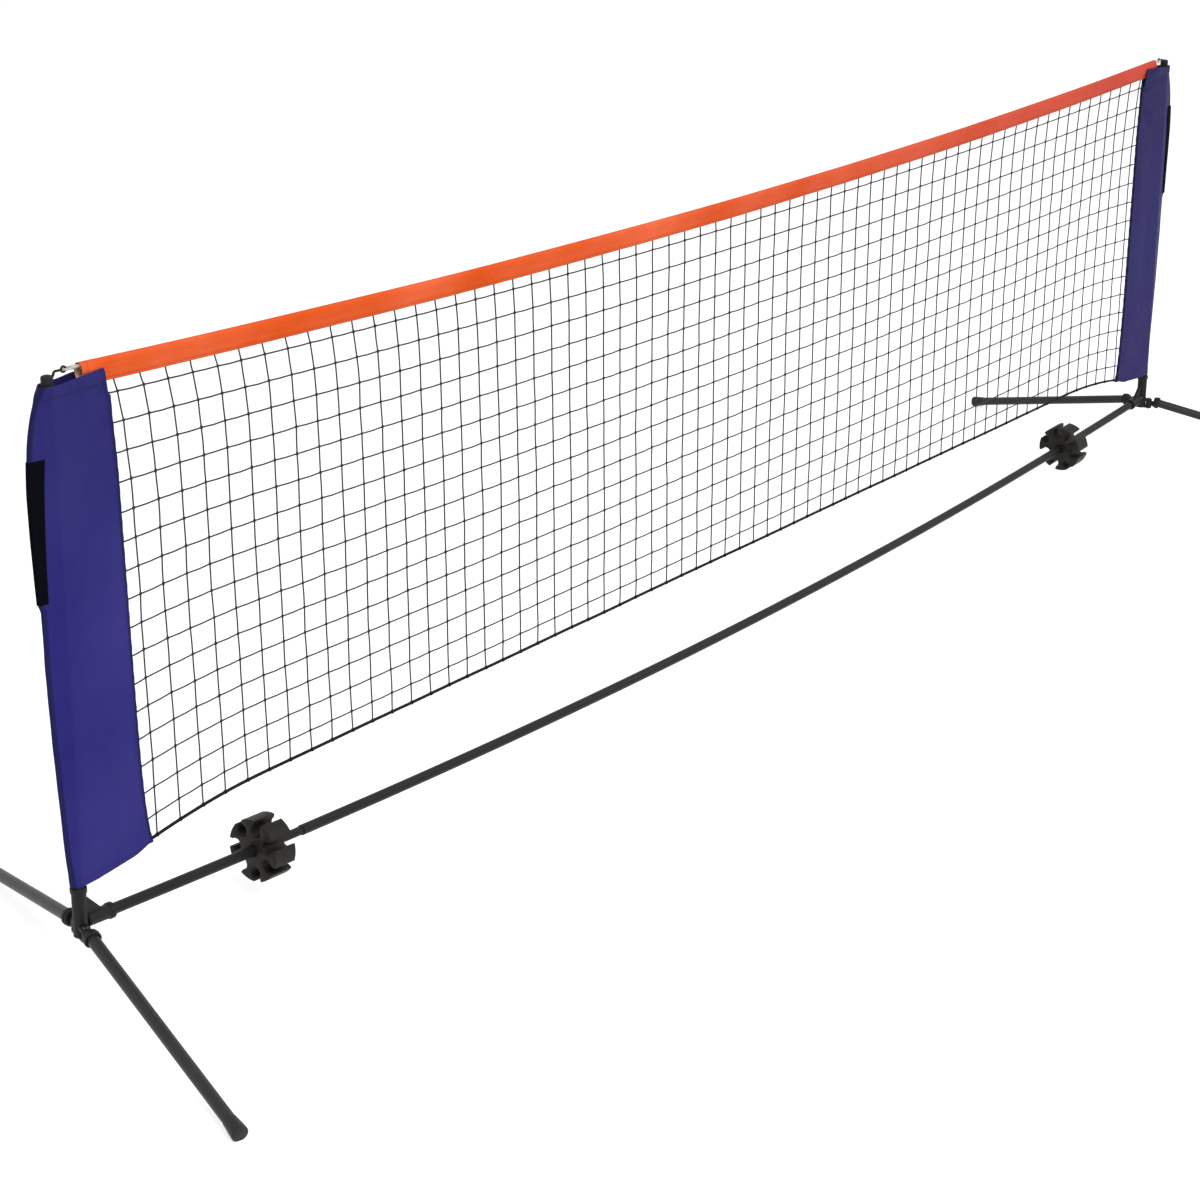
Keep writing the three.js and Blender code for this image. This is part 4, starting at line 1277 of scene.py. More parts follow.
@dataclass
class LegAssembly:
    """A hinged socket, its tube, the foot cap and the rivet that it swings on."""

    layout: Layout
    leg: Leg
    socket_radius: float = 0.0112
    ring_radius: float = 0.0126
    ring_length: float = 0.008
    socket_start: float = 0.0104
    socket_length: float = 0.013
    web: float = 0.003
    tongue_thickness: float = 0.0094
    tongue_radius: float = 0.0062
    reach: float = 0.443
    root_drop: float = 0.001
    foot_height: float = 0.0095
    cap_length: float = 0.028
    cap_end: float = 0.006
    cap_radius: float = 0.0116
    wall: float = 0.001
    pin_radius: float = 0.0025
    pin_head: float = 0.0045
    sides: int = 40
    label: str = field(init=False)
    body: str = field(init=False)
    place: Matrix = field(init=False)
    fall: float = field(init=False)
    length: float = field(init=False)

    def __post_init__(self) -> None:
        """Finds the leg's direction from its hinge and the middle of its tube."""
        self.label = self.leg.value
        self.body = f"{self.label}_leg"
        low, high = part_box(f"{self.label}_leg_tube")
        pivot = self.layout.pivot(self.leg)
        across = (low + high) / 2 - pivot
        turn = math.atan2(across.y, across.x)
        self.place = Matrix.Translation((pivot.x, pivot.y, 0)) @ Matrix.Rotation(turn, 4, "Z")
        fall = self.layout.hub_height - self.root_drop - self.foot_height
        self.fall = fall / self.reach
        self.length = self.reach - self.layout.pivot_offset

    def point(self, along: float) -> Vector:
        """A point on the leg's axis, with +X along the leg from its hinge."""
        height = self.layout.hub_height - self.root_drop - self.fall * (self.layout.pivot_offset + along)
        return Vector((along, 0, height))

    def _swinging(self, name: str, shape: Shape, finish: Finish, node: str) -> Piece:
        """Builds and dresses a piece that swings with the leg, from its shape along +X."""
        shape.transform(self.place)
        return settle(piece_from(f"{self.label}_{name}", shape), self.body, finish, f"{self.label}_{node}")

    def build_socket(self) -> Piece:
        """Builds and dresses the hinged socket."""
        start, end = self.point(self.socket_start), self.point(self.socket_start + self.socket_length)
        sizes = (self.socket_radius, self.ring_radius, self.ring_length, self.layout.leg_bore)
        barrel = spun(socket_profile(*sizes, (end - start).length, self.web), self.sides, facing(start, end))
        hinge = self.layout.hub_height - self.layout.hinge_drop
        ends = [(0.0, 0.0, self.tongue_radius), (self.socket_start - 0.006, 0.0, self.tongue_radius)]
        tongue = hull_plate(ends, self.tongue_thickness, 0.0008)
        tongue.transform(Matrix.Translation((0, 0, hinge)))
        shape = combined(barrel, [tongue], Join.UNION, self.label)
        return self._swinging("hinged_socket", shape, MOULDED_BLACK, "leg_socket")

    def build_tube(self) -> Piece:
        """Builds and dresses the leg's tube."""
        start = self.point(self.socket_start + self.web + 0.0003)
        end = self.point(self.length - self.cap_end - 0.0003)
        shape = open_tube(start, end, self.layout.leg_radius, self.wall, self.sides)
        return self._swinging("steel_tube", shape, POWDER_COAT, "leg_tube")

    def build_cap(self) -> Piece:
        """Builds and dresses the flared foot cap, cut flat on the ground."""
        bore, depth = self.layout.leg_bore, self.cap_length
        mouth = bore + 0.0004
        bell = [
            (mouth + (self.cap_radius - mouth) * (1 - smooth_step(height, 0.0015, depth)) ** 0.8, height)
            for height in (0.0022 + (depth - 0.0026) * step / 14 for step in range(15))
        ]
        profile = [
            (0.0, 0.0),
            (self.cap_radius - 0.0016, 0.0),
            (self.cap_radius - 0.0006, 0.0004),
            (self.cap_radius - 0.0001, 0.0012),
            *bell,
            (bore, depth),
            (bore, self.cap_end),
            (0.0, self.cap_end),
        ]
        shape = spun(profile, self.sides, facing(self.point(self.length), self.point(0.0)))
        whole = [*shape.verts, *shape.edges, *shape.faces]
        cut = bmesh.ops.bisect_plane(shape, geom=whole, plane_no=(0, 0, -1), clear_outer=True)
        bmesh.ops.holes_fill(shape, edges=of_kind(cut["geom_cut"], Edge), sides=0)
        return self._swinging("rubber_foot", outward(shape), FOOT_BLACK_HIGHLIGHTED, "foot_cap")

    def build_pin(self) -> Piece:
        """Builds and dresses the rivet, which stays with the hub."""
        low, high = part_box(f"{self.label}_hinge_pin")
        head = 0.002
        soft = 0.0007
        pivot = self.layout.pivot(self.leg)
        half = (high.z - low.z) / 2
        radius = self.pin_radius
        profile = [
            (0.0, -half),
            (self.pin_head - 2 * soft, -half),
            (self.pin_head - soft / 2, -half + soft),
            (self.pin_head, -half + head),
            (radius, -half + head),
            (radius, half - head),
            (self.pin_head, half - head),
            (self.pin_head - soft / 2, half - soft),
            (self.pin_head - 2 * soft, half),
            (0.0, half),
        ]
        place = Matrix.Translation((pivot.x, pivot.y, (low.z + high.z) / 2))
        piece = piece_from(f"{self.label}_rivet", spun(profile, 24, place))
        return settle(piece, FRAME_BODY, RIVET_STEEL, f"{self.label}_hinge_pin")

    def build(self) -> None:
        """Builds the leg's four pieces."""
        self.build_socket()
        self.build_tube()
        self.build_cap()
        self.build_pin()


# ------------------------------------------------------------------ storage clips


@dataclass
class StorageClip:
    """A drum on the bar with seven open pockets that hold the tubes when the net is packed."""

    layout: Layout
    side: Side
    radius: float = 0.0475
    length: float = 0.042
    pockets: int = 7
    pocket_radius: float = 0.0097
    pocket_centre: float = 0.033
    mouth: float = 0.0144
    play: float = 0.0006
    turn: float = 0.0

    def build(self) -> Piece:
        """Builds and dresses the clip."""
        label = self.side.label
        joint = self.layout.joints[f"{label}_clip_turn"]
        half = self.length / 2
        soft = 0.0012
        bore = self.layout.tube_radius + self.play
        profile = [
            (bore, -half + soft / 2),
            (bore + soft / 2, -half),
            (self.radius - soft, -half),
            (self.radius, -half + soft),
            (self.radius, half - soft),
            (self.radius - soft, half),
            (bore + soft / 2, half),
            (bore, half - soft / 2),
            (bore, -half + soft / 2),
        ]
        drum = spun(profile, 84)
        cutters = []
        for index in range(self.pockets):
            angle = index * FULL_TURN / self.pockets
            round_by = Matrix.Rotation(angle, 4, "Z")
            place = round_by @ Matrix.Translation((self.pocket_centre, 0, 0))
            pocket = bmesh.new()
            sizes = {"radius1": self.pocket_radius, "radius2": self.pocket_radius, "depth": 2 * self.length}
            bmesh.ops.create_cone(pocket, cap_ends=True, segments=32, matrix=place, **sizes)
            gate = bmesh.new()
            size = Matrix.Diagonal((self.radius, self.mouth, 2 * self.length, 1))
            shift = Matrix.Translation((self.pocket_centre + self.radius / 2, 0, 0))
            bmesh.ops.create_cube(gate, size=1.0, matrix=round_by @ shift @ size)
            cutters += [pocket, gate]
        shape = combined(drum, cutters, Join.CUT, f"{label}_clip")
        bmesh.ops.dissolve_limit(shape, angle_limit=math.radians(0.6), verts=shape.verts[:], edges=shape.edges[:])
        round_edges(shape, 0.0009, 45)
        axis = Vector(joint["axis"]).normalized()
        turned = Matrix.Rotation(math.radians(self.turn), 4, axis)
        upright = Matrix(((0, 0, 1, 0), (0, 1, 0, 0), (-1, 0, 0, 0), (0, 0, 0, 1)))
        lean = Matrix.Rotation(-math.atan2(axis.z, axis.x), 4, "Y")
        shape.transform(Matrix.Translation(joint["pos_m"]) @ turned @ lean @ upright)
        piece = piece_from(f"{label}_tube_clip", shape)
        return settle(piece, f"{label}_clip", CLIP_PLASTIC, f"{label}_storage_clip")


# ------------------------------------------------------------------ net, tape, rope and cord


@dataclass
class Mesh:
    """The knotted mesh, thread by thread, from the bottom cord to the tape."""

    layout: Layout
    columns: int = 66
    rows: int = 16
    first_column: float = 0.020
    first_row: float = 0.0302
    row_share: float = 0.06135
    thread: float = 0.0012
    knot: float = 0.0027
    slack: float = 0.0016
    pull: float = 0.018
    pull_depth: float = 0.060
    tuck: float = 0.009
    row_seed: int = 500

    def knot_point(self, column: float, row: float) -> Vector:
        """The place of a crossing.

        Args:
            column: Its count from the left, where 0 is inside the left sleeve and 1 the first thread.
            row: Its count from the top, where 0 is the tape's hem and 1 the first thread.

        Returns:
            The point, with the mesh's own unevenness.
        """
        layout = self.layout
        half = layout.seam - self.first_column
        base = -half + 2 * half * (column - 1) / (self.columns - 1)
        sewn_at = layout.seam + self.tuck
        if column in (0, self.columns + 1):
            base = math.copysign(sewn_at, base)
        across = max(-1.0, min(1.0, base / layout.seam))
        down = self.first_row + self.row_share * (row - 1) if 0 < row <= self.rows else float(row > 0)
        inside = math.sin(math.pi * down)
        low, high = layout.cord_axis(base), layout.tape_top(base) - layout.tape_height + 0.003
        height = high - (high - low) * down
        held = smooth_step(1 - abs(across), 0.0, 0.01)
        drag = self.pull * math.exp(-(high - height) / self.pull_depth) * across * held
        uneven = wobble(column * 3.1, row * 2.3, scale=1.6, seed=4.2) * self.slack * held
        lift = wobble(column * 2.7, row * 3.3, scale=1.5, seed=9.1) * self.slack * 0.8 * inside
        drift = wobble(base, height, scale=0.35, seed=2.4) * 0.0035 * held * inside
        depth = wobble(base, height, scale=0.25, seed=6.6) * 0.003 * inside
        return Vector((base + drag + uneven + drift, depth, height + lift))

    def build(self) -> Piece:
        """Builds and dresses the mesh."""
        columns, rows = range(1, self.columns + 1), range(1, self.rows + 1)
        upright = [
            self._thread([self.knot_point(column, row) for row in range(self.rows + 2)], column) for column in columns
        ]
        level = [
            self._thread([self.knot_point(column, row) for column in range(self.columns + 2)], row + self.row_seed)
            for row in rows
        ]
        whole = gathered(upright + level)
        for column in columns:
            for row in rows:
                self._add_knot(whole, column, row)
        return settle(piece_from("knotted_mesh", whole, 80), FRAME_BODY, NET_THREAD, "net_mesh")

    def _thread(self, crossings: Sequence[Vector], seed: int) -> Shape:
        """One thread through its knots, bowed a little off the straight line between them."""
        points: list[Vector] = []
        for index, (start, end) in enumerate(zip(crossings, crossings[1:])):
            middle = (start + end) / 2
            middle.x += wobble(index, seed, scale=0.37, seed=1.3) * 0.0008
            middle.z -= 0.0006 + wobble(index, seed, scale=0.41, seed=5.3) * 0.0006
            points += [start, middle]
        points.append(crossings[-1])
        return swept([Station(point, self.thread) for point in points], 5)

    def _add_knot(self, whole: Shape, column: int, row: int) -> None:
        """Adds the knot at a crossing."""
        spin = Euler((column * 1.3, row * 0.9, column + row * 1.7)).to_matrix().to_4x4()
        squash = Matrix.Diagonal((1.0, 0.72, 1.18, 1.0))
        size = Matrix.Scale(self.knot * (1 + 0.15 * wobble(column, row, scale=0.7)), 4)
        place = Matrix.Translation(self.knot_point(column, row))
        bmesh.ops.create_icosphere(whole, subdivisions=1, radius=1.0, matrix=place @ squash @ size @ spin)


@dataclass
class TopTape:
    """The cloth tape folded over the top rope and sewn to itself along its hem."""

    layout: Layout
    nose: float = 0.0044
    hem: float = 0.0013
    thickness: float = 0.0006
    mouth_open: float = 0.62
    mouth_length: float = 0.042
    end_gap: float = 0.003

    def build(self) -> Piece:
        """Builds and dresses the tape."""
        layout = self.layout
        low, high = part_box("top_tape")
        start = low.x + self.end_gap
        length = high.x - low.x - 2 * self.end_gap
        depth = layout.tape_height - self.nose
        flat_width = 2 * depth + math.pi * self.nose
        round_radius = flat_width / FULL_TURN

        def surface(across: float, along: float) -> tuple[Vector, Point]:
            """A point of the tape: across it from hem to hem, and along the net."""
            x = start + length * along
            half = across * 2 - 1
            side = 1 if half > 0 else -1
            walk = abs(half) * flat_width / 2
            arc = math.pi / 2 * self.nose
            if walk < arc:
                angle = walk / self.nose
                y = side * self.nose * math.sin(angle)
                z = self.nose * math.cos(angle)
            else:
                down = (walk - arc) / depth
                y = side * (self.nose + (self.hem - self.nose) * smooth_step(down, 0.0, 0.85))
                z = -down * depth
            from_end = min(along, 1 - along) * length
            opened = self.mouth_open * (1 - smooth_step(from_end, 0.0, self.mouth_length))
            turn = walk / round_radius
            y += opened * (side * round_radius * math.sin(turn) - y)
            z += opened * (self.nose - round_radius * (1 - math.cos(turn)) - z)
            bulk = math.sin(math.pi * min(1.0, walk / (flat_width / 2)))
            ripple = wobble(x, half, scale=0.045, seed=3.3) * 0.0007
            ripple += wobble(x, half * 0.02, scale=0.016, seed=7.1) * 0.0003
            pucker = math.sin(x / 0.0042 * 0.5) * 0.00012 if walk > arc + depth * 0.8 else 0.0
            sway = wobble(x, scale=0.32, seed=8.8) * 0.0014
            y += side * (ripple * bulk + pucker) + sway
            z += wobble(x, scale=0.11, seed=5.9) * 0.0005 * (walk / (flat_width / 2))
            return Vector((x, y, layout.rope_height(x) + z)), (across * flat_width, along * length)

        sheet = draped(40, 720, surface)
        piece = piece_from("folded_tape", sheet, 60)
        # The back face takes the pale finish, a painted highlight inside the open ends.
        for finish in (TAPE_BACK_HIGHLIGHT, ORANGE_TAPE):
            piece.data.materials.append(finish.material())
        thicken(piece, self.thickness, 0.0, lining=1)
        settle(piece, FRAME_BODY, ORANGE_TAPE, "top_tape")
        return piece


@dataclass
class TopRope:
    """The white rope in the tape, with a loop through the hook's eye at each end."""

    layout: Layout
    radius: float = 0.0022
    loop_radius: float = 0.0052
    loop_wire: float = 0.0017
    collar: tuple[Point, ...] = ((0.009, 0.0026), (0.008, 0.0031), (0.001, 0.0031), (0.0, 0.0026))

    def build(self) -> Piece:
        """Builds and dresses the rope."""
        _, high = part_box("top_rope")
        reach = high.x - self.loop_wire
        half = reach - 2 * self.loop_radius
        count = 90
        line = [-half + 2 * half * step / count for step in range(count + 1)]
        parts = [swept([Station(self._at(x), self.radius) for x in line], 12)]
        for side in Side:
            middle = self._at(side.value * (reach - self.loop_radius))
            ring = turned_at(middle, self.loop_radius, self.loop_wire, Vector((0, 1, 0)), 24)
            parts.append(swept(ring, 10, closed=True))
            neck = side.value * (half - 0.001)
            collar = [Station(self._at(neck - side.value * back), size) for back, size in self.collar]
            parts.append(swept(collar, 12))
        return settle(piece_from("braided_rope", gathered(parts), 60), FRAME_BODY, WHITE_ROPE, "top_rope")

    def _at(self, x: float) -> Vector:
        """A point on the rope's axis."""
        return Vector((x, 0.0, self.layout.rope_height(x)))


@dataclass
class BottomCord:
    """The black cord that the mesh's lower edge is tied to, with a hitch at each thread."""

    layout: Layout
    mesh: Mesh
    radius: float = 0.0024
    hitch: tuple[Point, ...] = ((-0.0022, 0.0024), (-0.0012, 0.0032), (0.0012, 0.0032), (0.0022, 0.0024))

    def build(self) -> Piece:
        """Builds and dresses the cord."""
        low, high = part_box("bottom_cord")
        count = 160
        stations = []
        for step in range(count + 1):
            x = low.x + (high.x - low.x) * step / count
            stations.append(Station(Vector((x, 0.0, self._height(x))), self.radius))
        parts = [swept(stations, 10)]
        for column in range(1, self.mesh.columns + 1):
            place = self.mesh.knot_point(column, self.mesh.rows + 1)
            place.z = self._height(place.x)
            parts.append(swept([Station(place + Vector((shift, 0, 0)), size) for shift, size in self.hitch], 8))
        return settle(piece_from("lower_cord", gathered(parts), 60), FRAME_BODY, BLACK_CORD, "bottom_cord")

    def _height(self, x: float) -> float:
        """Height of the cord's axis, with its own unevenness."""
        return self.layout.cord_axis(x) + wobble(x, scale=0.12, seed=3.7) * 0.0007


# ------------------------------------------------------------------ sleeves


@dataclass(frozen=True)
class Fold:
    """A soft ridge in the cloth: its middle, lengths along and across it, height and lean."""

    across: float
    height: float
    half_length: float
    half_width: float
    rise: float
    lean: float = 0.0

    def at(self, across: float, height: float) -> float:
        """How far the ridge lifts the cloth at a place."""
        along = Vector((math.cos(self.lean), math.sin(self.lean)))
        offset = Vector((across - self.across, height - self.height))
        run = offset.dot(along) / self.half_length
        side = (offset.x * -along.y + offset.y * along.x) / self.half_width
        return self.rise * math.exp(-run * run) * math.exp(-side * side)


@dataclass
class Sleeve:
    """The blue cloth pocket that slips over a post, with bound edges and hems."""

    layout: Layout
    side: Side
    post_radius: float = 0.0101
    seam_radius: float = 0.0019
    edge_radius: float = 0.0022
    edge_min: float = 0.013
    edge_bulge: float = 0.036
    edge_spread: float = 0.8
    edge_shoulder: float = 12.0
    notch_top: float = 0.572
    notch_depth: float = 0.0042
    notch_length: float = 0.085
    ear: float = 0.012
    ear_height: float = 0.055
    seam_slack: float = 0.001
    top_pull: float = 0.004
    bottom: float = 0.1596
    seam_bottom: float = 0.174
    bottom_rise: float = 0.0031
    bottom_slope: float = 0.0036
    corner: float = 1.4425
    corner_start: float = 0.8155
    corner_height: float = 0.8545
    corner_pull: float = 0.0055
    over_tape: float = 0.0024
    over_mouth: float = 0.0036
    mouth_at: float = 1.476
    top: float = 0.851
    cloth: float = 0.0009
    binding: float = 0.0075
    half_columns: int = 60
    rows: int = 190
    folds: tuple[Fold, ...] = (
        Fold(0.030, 0.810, 0.040, 0.005, 0.0034, 0.05),
        Fold(0.060, 0.757, 0.045, 0.007, 0.0026, -0.08),
        Fold(0.035, 0.735, 0.045, 0.012, -0.0014, -0.55),
        Fold(0.118, 0.800, 0.004, 0.040, 0.0012, 0.05),
        Fold(0.030, 0.600, 0.030, 0.060, 0.0012, 0.20),
        Fold(0.070, 0.470, 0.020, 0.090, -0.0010, 0.10),
        Fold(0.045, 0.330, 0.040, 0.030, 0.0012, -0.50),
        Fold(0.030, 0.225, 0.060, 0.014, 0.0014, -0.35),
    )

    def edge(self, height: float) -> float:
        """How far the outer edge stands beyond the post axis."""
        rise = min(1.0, max(0.0, (height - self.bottom) / (self.top - self.bottom)))
        bulge = self.edge_bulge * rise**self.edge_spread * (1 - rise**self.edge_shoulder)
        below = self.notch_top - height
        notch = self.notch_depth * smooth_step(below, 0.0, 0.016) * math.exp(-((below / self.notch_length) ** 2))
        return self.edge_min + bulge - notch

    def inset(self, height: float) -> float:
        """How far the inner edge is drawn towards the post, negative where it reaches over the mesh."""
        ear = self.ear * math.exp(-(height - self.seam_bottom) / self.ear_height)
        pull = self.top_pull * smooth_step(height, 0.70, 0.82)
        pull += self.corner_pull * smooth_step(height, 0.812, 0.832)
        return self.seam_slack + pull - ear

    def reach(self, distance: float) -> Point:
        """Lowest and highest point of the cloth at a distance from the middle of the net."""
        post = self.layout.half_span - self.layout.post_lean
        seam = self.layout.seam
        hem = self.bottom + self.bottom_rise + self.bottom_slope * (1 - even_ramp(distance, 1.462, 1.520))
        low = hem + (self.seam_bottom - hem) * (1 - even_ramp(distance, seam, seam + 0.037)) ** 2
        high = self.corner_height + (self.top - self.corner_height) * even_ramp(distance, 1.480, post - 0.015)
        corner = smooth_step(distance, seam + 0.007, self.corner)
        return low, self.corner_start + (high - self.corner_start) * corner

    def half_section(self, height: float, share: float) -> tuple[float, float, float]:
        """A point of the front half of the sleeve's section.

        Args:
            height: The height of the section.
            share: How far along it, from the seam to the outer edge.

        Returns:
            Distance from the middle of the net, from the plane of the net, and along the cloth.
        """
        post = abs(self.layout.post_point(self.side, height).x)
        seam_at = self.layout.seam + self.seam_radius + self.inset(height)
        reach = post + self.edge(height) - self.edge_radius
        lean_in = math.asin((self.post_radius - self.seam_radius) / (post - seam_at))
        lean_out = math.asin(min(0.96, (self.post_radius - self.edge_radius) / (reach - post)))
        quarter = math.pi / 2
        arcs = (
            (seam_at, self.seam_radius, math.pi, quarter + lean_in),
            (post, self.post_radius, quarter + lean_in, quarter - lean_out),
            (reach, self.edge_radius, quarter - lean_out, 0.0),
        )
        runs = []
        previous = None
        for middle, radius, start, end in arcs:
            first = (middle + radius * math.cos(start), radius * math.sin(start))
            if previous is not None:
                runs.append(("line", math.dist(previous, first), previous, first))
            runs.append(("arc", radius * (start - end), (middle, radius, start, end), None))
            previous = (middle + radius * math.cos(end), radius * math.sin(end))
        total = sum(run[1] for run in runs)
        walk = share * total
        distance = walk
        for kind, length, first, second in runs:
            if walk <= length or kind == "arc" and first[3] == 0.0:
                part = min(1.0, walk / length)
                if kind == "line":
                    return (
                        first[0] + (second[0] - first[0]) * part,
                        first[1] + (second[1] - first[1]) * part,
                        distance,
                    )
                middle, radius, start, end = first
                angle = start + (end - start) * part
                return middle + radius * math.cos(angle), radius * math.sin(angle), distance
            walk -= length
        return reach, 0.0, total

    @staticmethod
    def edge_wave(height: float, share: float) -> float:
        """How far the outer edge waves in and out, fading to nothing over the rest of the section."""
        return wobble(height, scale=0.05, seed=31.0) * 0.0012 * smooth_step(share, 0.9, 1.0)

    def relief(self, across: float, height: float, front: bool, from_edge: float) -> float:
        """How far folds, hems and the cloth's unevenness lift it at a place."""
        lift = sum(fold.at(across, height) for fold in self.folds) * (1.0 if front else -0.6)
        seed = 11.0 if front else 23.0
        seed += self.side.value
        lift += wobble(across * 1.6, height, scale=0.11, seed=seed) * 0.0013
        lift += wobble(across * 2.2, height, scale=0.04, seed=seed + 5) * 0.0004
        lift *= smooth_step(across, 0.004, 0.03) * smooth_step(from_edge, 0.0, 0.012)
        bound = 0.0007 * (1 - smooth_step(across, self.binding - 0.0008, self.binding + 0.0008))
        bound += 0.0006 * (1 - smooth_step(from_edge, self.binding - 0.002, self.binding))
        scallop = 0.00035 * math.sin(height / 0.0035) * math.exp(-((across / 0.012) ** 2))
        return lift + bound + scallop

    def build(self) -> Piece:
        """Builds and dresses the sleeve."""
        label = self.side.label
        middle = (self.bottom + self.top) / 2
        _, _, flat_total = self.half_section(middle, 1.0)

        def surface(across: float, along: float) -> tuple[Vector, Point]:
            """A point of the sleeve: round it from the seam and back, and up it."""
            front = across <= 0.5
            share = across * 2 if front else 2 - across * 2
            distance, _, _ = self.half_section(middle, share)
            height = middle
            out = walked = 0.0
            for _ in range(3):
                low, high = self.reach(distance)
                height = low + (high - low) * along
                distance, out, walked = self.half_section(height, share)
            _, _, total = self.half_section(height, 1.0)
            lift = self.relief(walked, height, front, total - walked)
            hem = 0.0005 * (1 - smooth_step(height - low, 0.014, 0.0155))
            hem += 0.0005 * smooth_step(height, high - 0.0175, high - 0.016)
            over = self.over_tape + self.over_mouth * math.exp(-(((distance - self.mouth_at) / 0.022) ** 2))
            hem += over * smooth_step(height, 0.828, 0.844)
            swell = (lift + hem) * min(1.0, out / self.seam_radius)
            edge_wave = self.edge_wave(height, share)
            place = Vector((
                self.side.value * (distance + edge_wave),
                (-1 if front else 1) * max(0.0, out + swell),
                height,
            ))
            even = walked * flat_total / total
            return place, (even if front else 2 * flat_total - even, height)

        sheet = draped(2 * self.half_columns, self.rows, surface, closed=True)
        piece = piece_from(f"{label}_cloth_sleeve", sheet, 60)
        thicken(piece, self.cloth, -1.0)
        settle(piece, FRAME_BODY, self._finish(), f"{label}_sleeve")
        return piece

    def _finish(self) -> ClothFinish:
        """The blue cloth, with its bindings and rows of stitches."""
        _, _, total = self.half_section((self.bottom + self.top) / 2, 1.0)
        return ClothFinish(
            name="woven_blue",
            slot="blue_cloth",
            colour=(0.0285, 0.0245, 0.215),
            # far_colour is painted shade: the right sleeve is the same cloth, made darker.
            far_colour=(0.0240, 0.0190, 0.135),
            far_from=-1.4,
            far_to=1.4,
            roughness=0.62,
            thread_pitch=0.0007,
            weave_depth=0.00005,
            sheen=0.02,
            # hem_shade darkens the bindings as painted shade.
            hem_shade=0.5,
            top_shade=0.72,
            across_rows=(
                self.binding - 0.0015,
                total - self.binding + 0.0015,
                total + self.binding - 0.0015,
                2 * total - self.binding + 0.0015,
            ),
            along_rows=(self.bottom + 0.013, self.top - 0.016),
            stitch_pitch=0.0036,
            stitch_colour=(0.020, 0.016, 0.10),
            hem_across=(
                (-0.01, self.binding),
                (total - self.binding, total + self.binding),
                (2 * total - self.binding, 2 * total + 0.05),
            ),
        )


@dataclass
class ClosureStrip:
    """The black hook-and-loop strip, folded over the sleeve's outer edge."""

    layout: Layout
    sleeve: Sleeve
    low: float = 0.570
    high: float = 0.760
    width_top: float = 0.024
    width_bottom: float = 0.015
    thickness: float = 0.0011

    def build(self) -> Piece:
        """Builds and dresses the strip."""
        sleeve = self.sleeve
        label = sleeve.side.label

        def surface(across: float, along: float) -> tuple[Vector, Point]:
            """A point of the strip: round the edge from front to back, and up it."""
            height = self.low + (self.high - self.low) * along
            width = self.width_bottom + (self.width_top - self.width_bottom) * along
            front = across <= 0.5
            from_edge = abs(across - 0.5) * 2 * width
            _, _, total = sleeve.half_section(height, 1.0)
            share = 1 - from_edge / total
            distance, out, walked = sleeve.half_section(height, share)
            lift = sleeve.relief(walked, height, front, from_edge) + 0.0009
            swell = lift * min(1.0, out / sleeve.seam_radius)
            edge_wave = sleeve.edge_wave(height, share)
            beyond = 0.0009 * (1 - smooth_step(from_edge, 0.0, 0.006))
            place = Vector((
                sleeve.side.value * (distance + edge_wave + beyond),
                (-1 if front else 1) * (out + swell),
                height,
            ))
            return place, (across * 2 * width, height)

        strip = draped(36, 60, surface)
        piece = piece_from(f"{label}_hook_loop_strip", strip, 60)
        thicken(piece, self.thickness, 1.0)
        settle(piece, FRAME_BODY, HOOK_AND_LOOP, f"{label}_closure_strip")
        return piece


# ------------------------------------------------------------------ studio


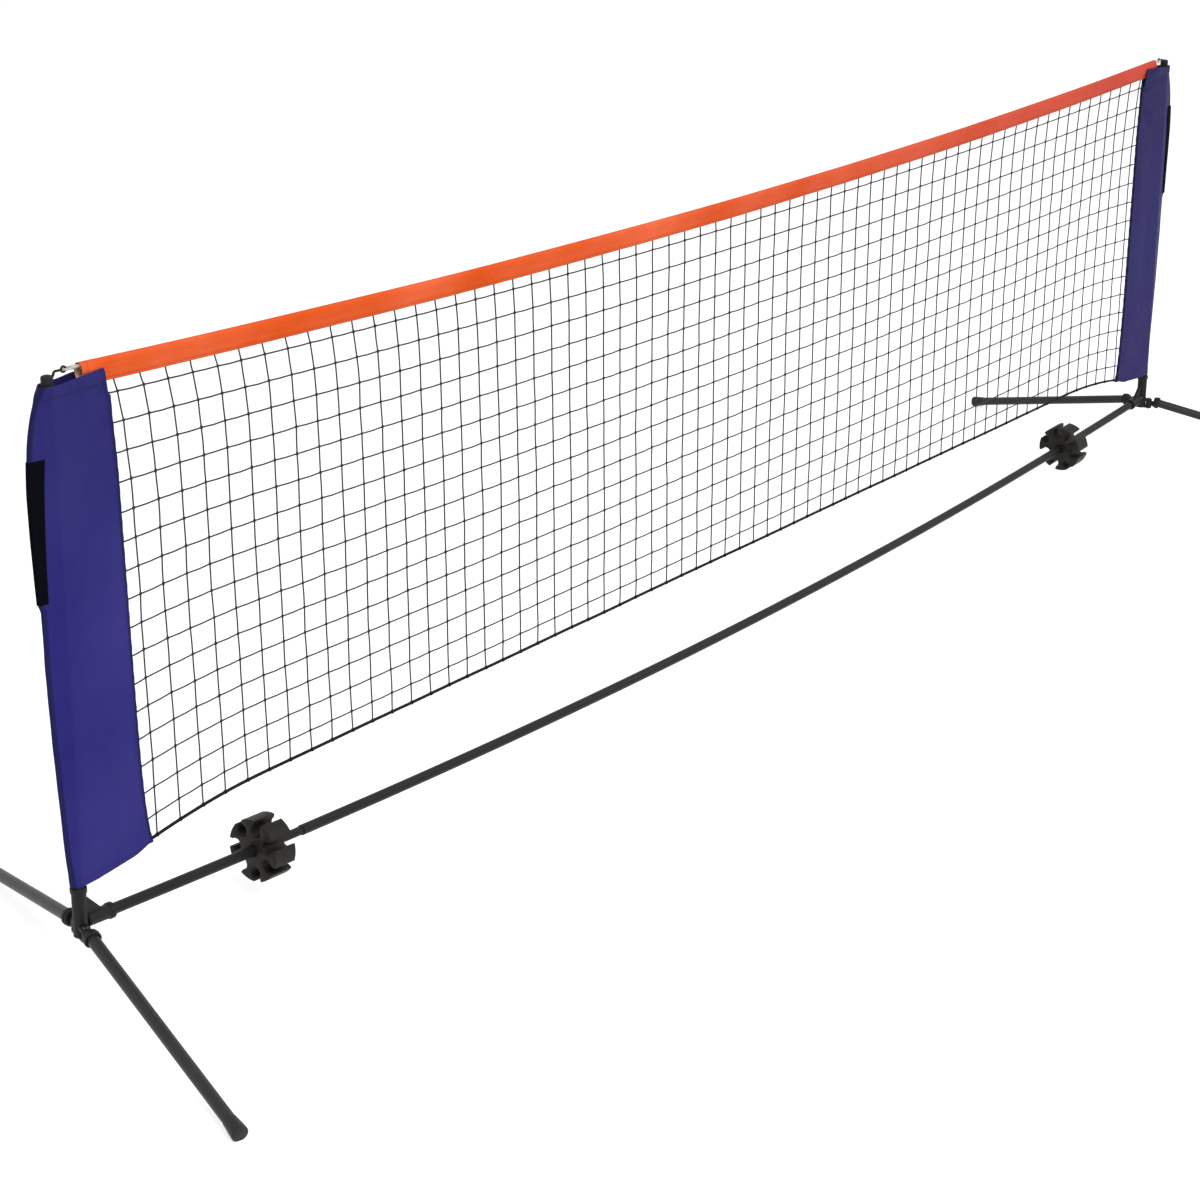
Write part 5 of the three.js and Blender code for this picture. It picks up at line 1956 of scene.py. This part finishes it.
@dataclass
class Studio:
    """The camera, the pale floor and the soft lights."""

    lens: float = 74.555
    sensor: float = 36.0
    position: tuple[float, float, float] = (-3.43475, -2.37587, 1.72508)
    heading: float = 0.90302
    dip: float = 0.37300
    roll: float = -0.00111
    floor_size: float = 60.0
    world_light: float = 0.47
    floor_boost: float = 0.62
    light_size: float = 3.5
    light_target: tuple[float, float, float] = (0, 0, 0.4)
    key_power: float = 200.0
    fill_power: float = 70.0

    def build_camera(self) -> None:
        """Makes the camera and looks along its heading."""
        camera = bpy.data.objects.new("camera", bpy.data.cameras.new("camera"))
        bpy.context.scene.collection.objects.link(camera)
        camera.data.lens = self.lens
        camera.data.sensor_width = self.sensor
        camera.data.clip_end = 100.0
        look = Vector((
            math.sin(self.heading) * math.cos(self.dip),
            math.cos(self.heading) * math.cos(self.dip),
            -math.sin(self.dip),
        ))
        turn = look.to_track_quat("-Z", "Y").to_matrix().to_4x4()
        camera.matrix_world = Matrix.Translation(self.position) @ turn @ Matrix.Rotation(self.roll, 4, "Z")
        bpy.context.scene.camera = camera

    def _seen(self, sheet: NodeSheet) -> Socket:
        """A mask of the rays that show the background itself."""
        path = sheet.add("ShaderNodeLightPath")
        direct = sheet.math("MAXIMUM", path.outputs["Is Camera Ray"], path.outputs["Is Glossy Ray"])
        return sheet.math("MAXIMUM", direct, path.outputs["Is Transmission Ray"])

    def build_world(self) -> None:
        """Makes the pale surroundings."""
        world = bpy.data.worlds.new("studio")
        world.use_nodes = True
        bpy.context.scene.world = world
        sheet = NodeSheet(world.node_tree)
        world.node_tree.nodes.clear()
        light, backdrop = (
            sheet.made("ShaderNodeBackground", {"Color": WHITE, "Strength": strength})
            for strength in (self.world_light, 1.0)
        )
        choice = sheet.made("ShaderNodeMixShader", {"Fac": self._seen(sheet), 1: light, 2: backdrop})
        sheet.link(choice, sheet.add("ShaderNodeOutputWorld").inputs["Surface"])

    def build_floor(self) -> None:
        """Makes the floor, which shows white and keeps the object's shadow."""
        mesh = bmesh.new()
        bmesh.ops.create_grid(mesh, x_segments=1, y_segments=1, size=self.floor_size / 2)
        floor = piece_from("floor", mesh)
        material = bpy.data.materials.new("pale_floor")
        material.use_nodes = True
        sheet = NodeSheet(material.node_tree)
        material.node_tree.nodes.clear()
        diffuse = sheet.made("ShaderNodeBsdfDiffuse", {"Color": FLOOR_GREY})
        strength = sheet.math("MULTIPLY", self._seen(sheet), self.floor_boost)
        glow = sheet.made("ShaderNodeEmission", {"Color": WHITE, "Strength": strength})
        total = sheet.made("ShaderNodeAddShader", {0: diffuse, 1: glow})
        sheet.link(total, sheet.add("ShaderNodeOutputMaterial").inputs["Surface"])
        floor.data.materials.append(material)

    def build_light(self, name: str, place: Sequence[float], power: float) -> None:
        """Adds a square soft light that faces the object.

        Args:
            name: Its name.
            place: Where it stands.
            power: Its power in watts.
        """
        light = bpy.data.lights.new(name, "AREA")
        light.shape = "SQUARE"
        light.size = self.light_size
        light.energy = power
        lamp = bpy.data.objects.new(name, light)
        bpy.context.scene.collection.objects.link(lamp)
        aim = Vector(self.light_target) - Vector(place)
        lamp.matrix_world = Matrix.Translation(place) @ aim.to_track_quat("-Z", "Y").to_matrix().to_4x4()

    def build(self) -> None:
        """Makes the surroundings, the floor and the lights."""
        scene = bpy.context.scene
        scene.view_settings.view_transform = "Standard"
        self.build_world()
        self.build_floor()
        self.build_light("key", (-2.5, -4.0, 5.0), self.key_power)
        self.build_light("fill", (4.5, -3.0, 3.5), self.fill_power)


def main() -> None:
    """Builds every sub-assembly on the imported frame."""
    logging.basicConfig(level=logging.INFO, format="%(name)s: %(message)s", stream=sys.stdout)
    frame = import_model()
    studio = Studio()
    studio.build_camera()
    layout = Layout(frame)
    mesh = Mesh(layout)
    TopRope(layout).build()
    BottomCord(layout, mesh).build()
    for side in Side:
        Hub(layout, side).build()
        post = Post(layout, side)
        post.build_tube()
        post.build_cap()
        sleeve = Sleeve(layout, side)
        sleeve.build()
        ClosureStrip(layout, sleeve).build()
    for leg in Leg:
        LegAssembly(layout, leg).build()
    GroundBar(layout).build()
    StorageClip(layout, Side.LEFT, turn=-12.0).build()
    StorageClip(layout, Side.RIGHT, turn=18.0).build()
    mesh.build()
    TopTape(layout).build()
    studio.build()


if __name__ == "__main__":
    main()
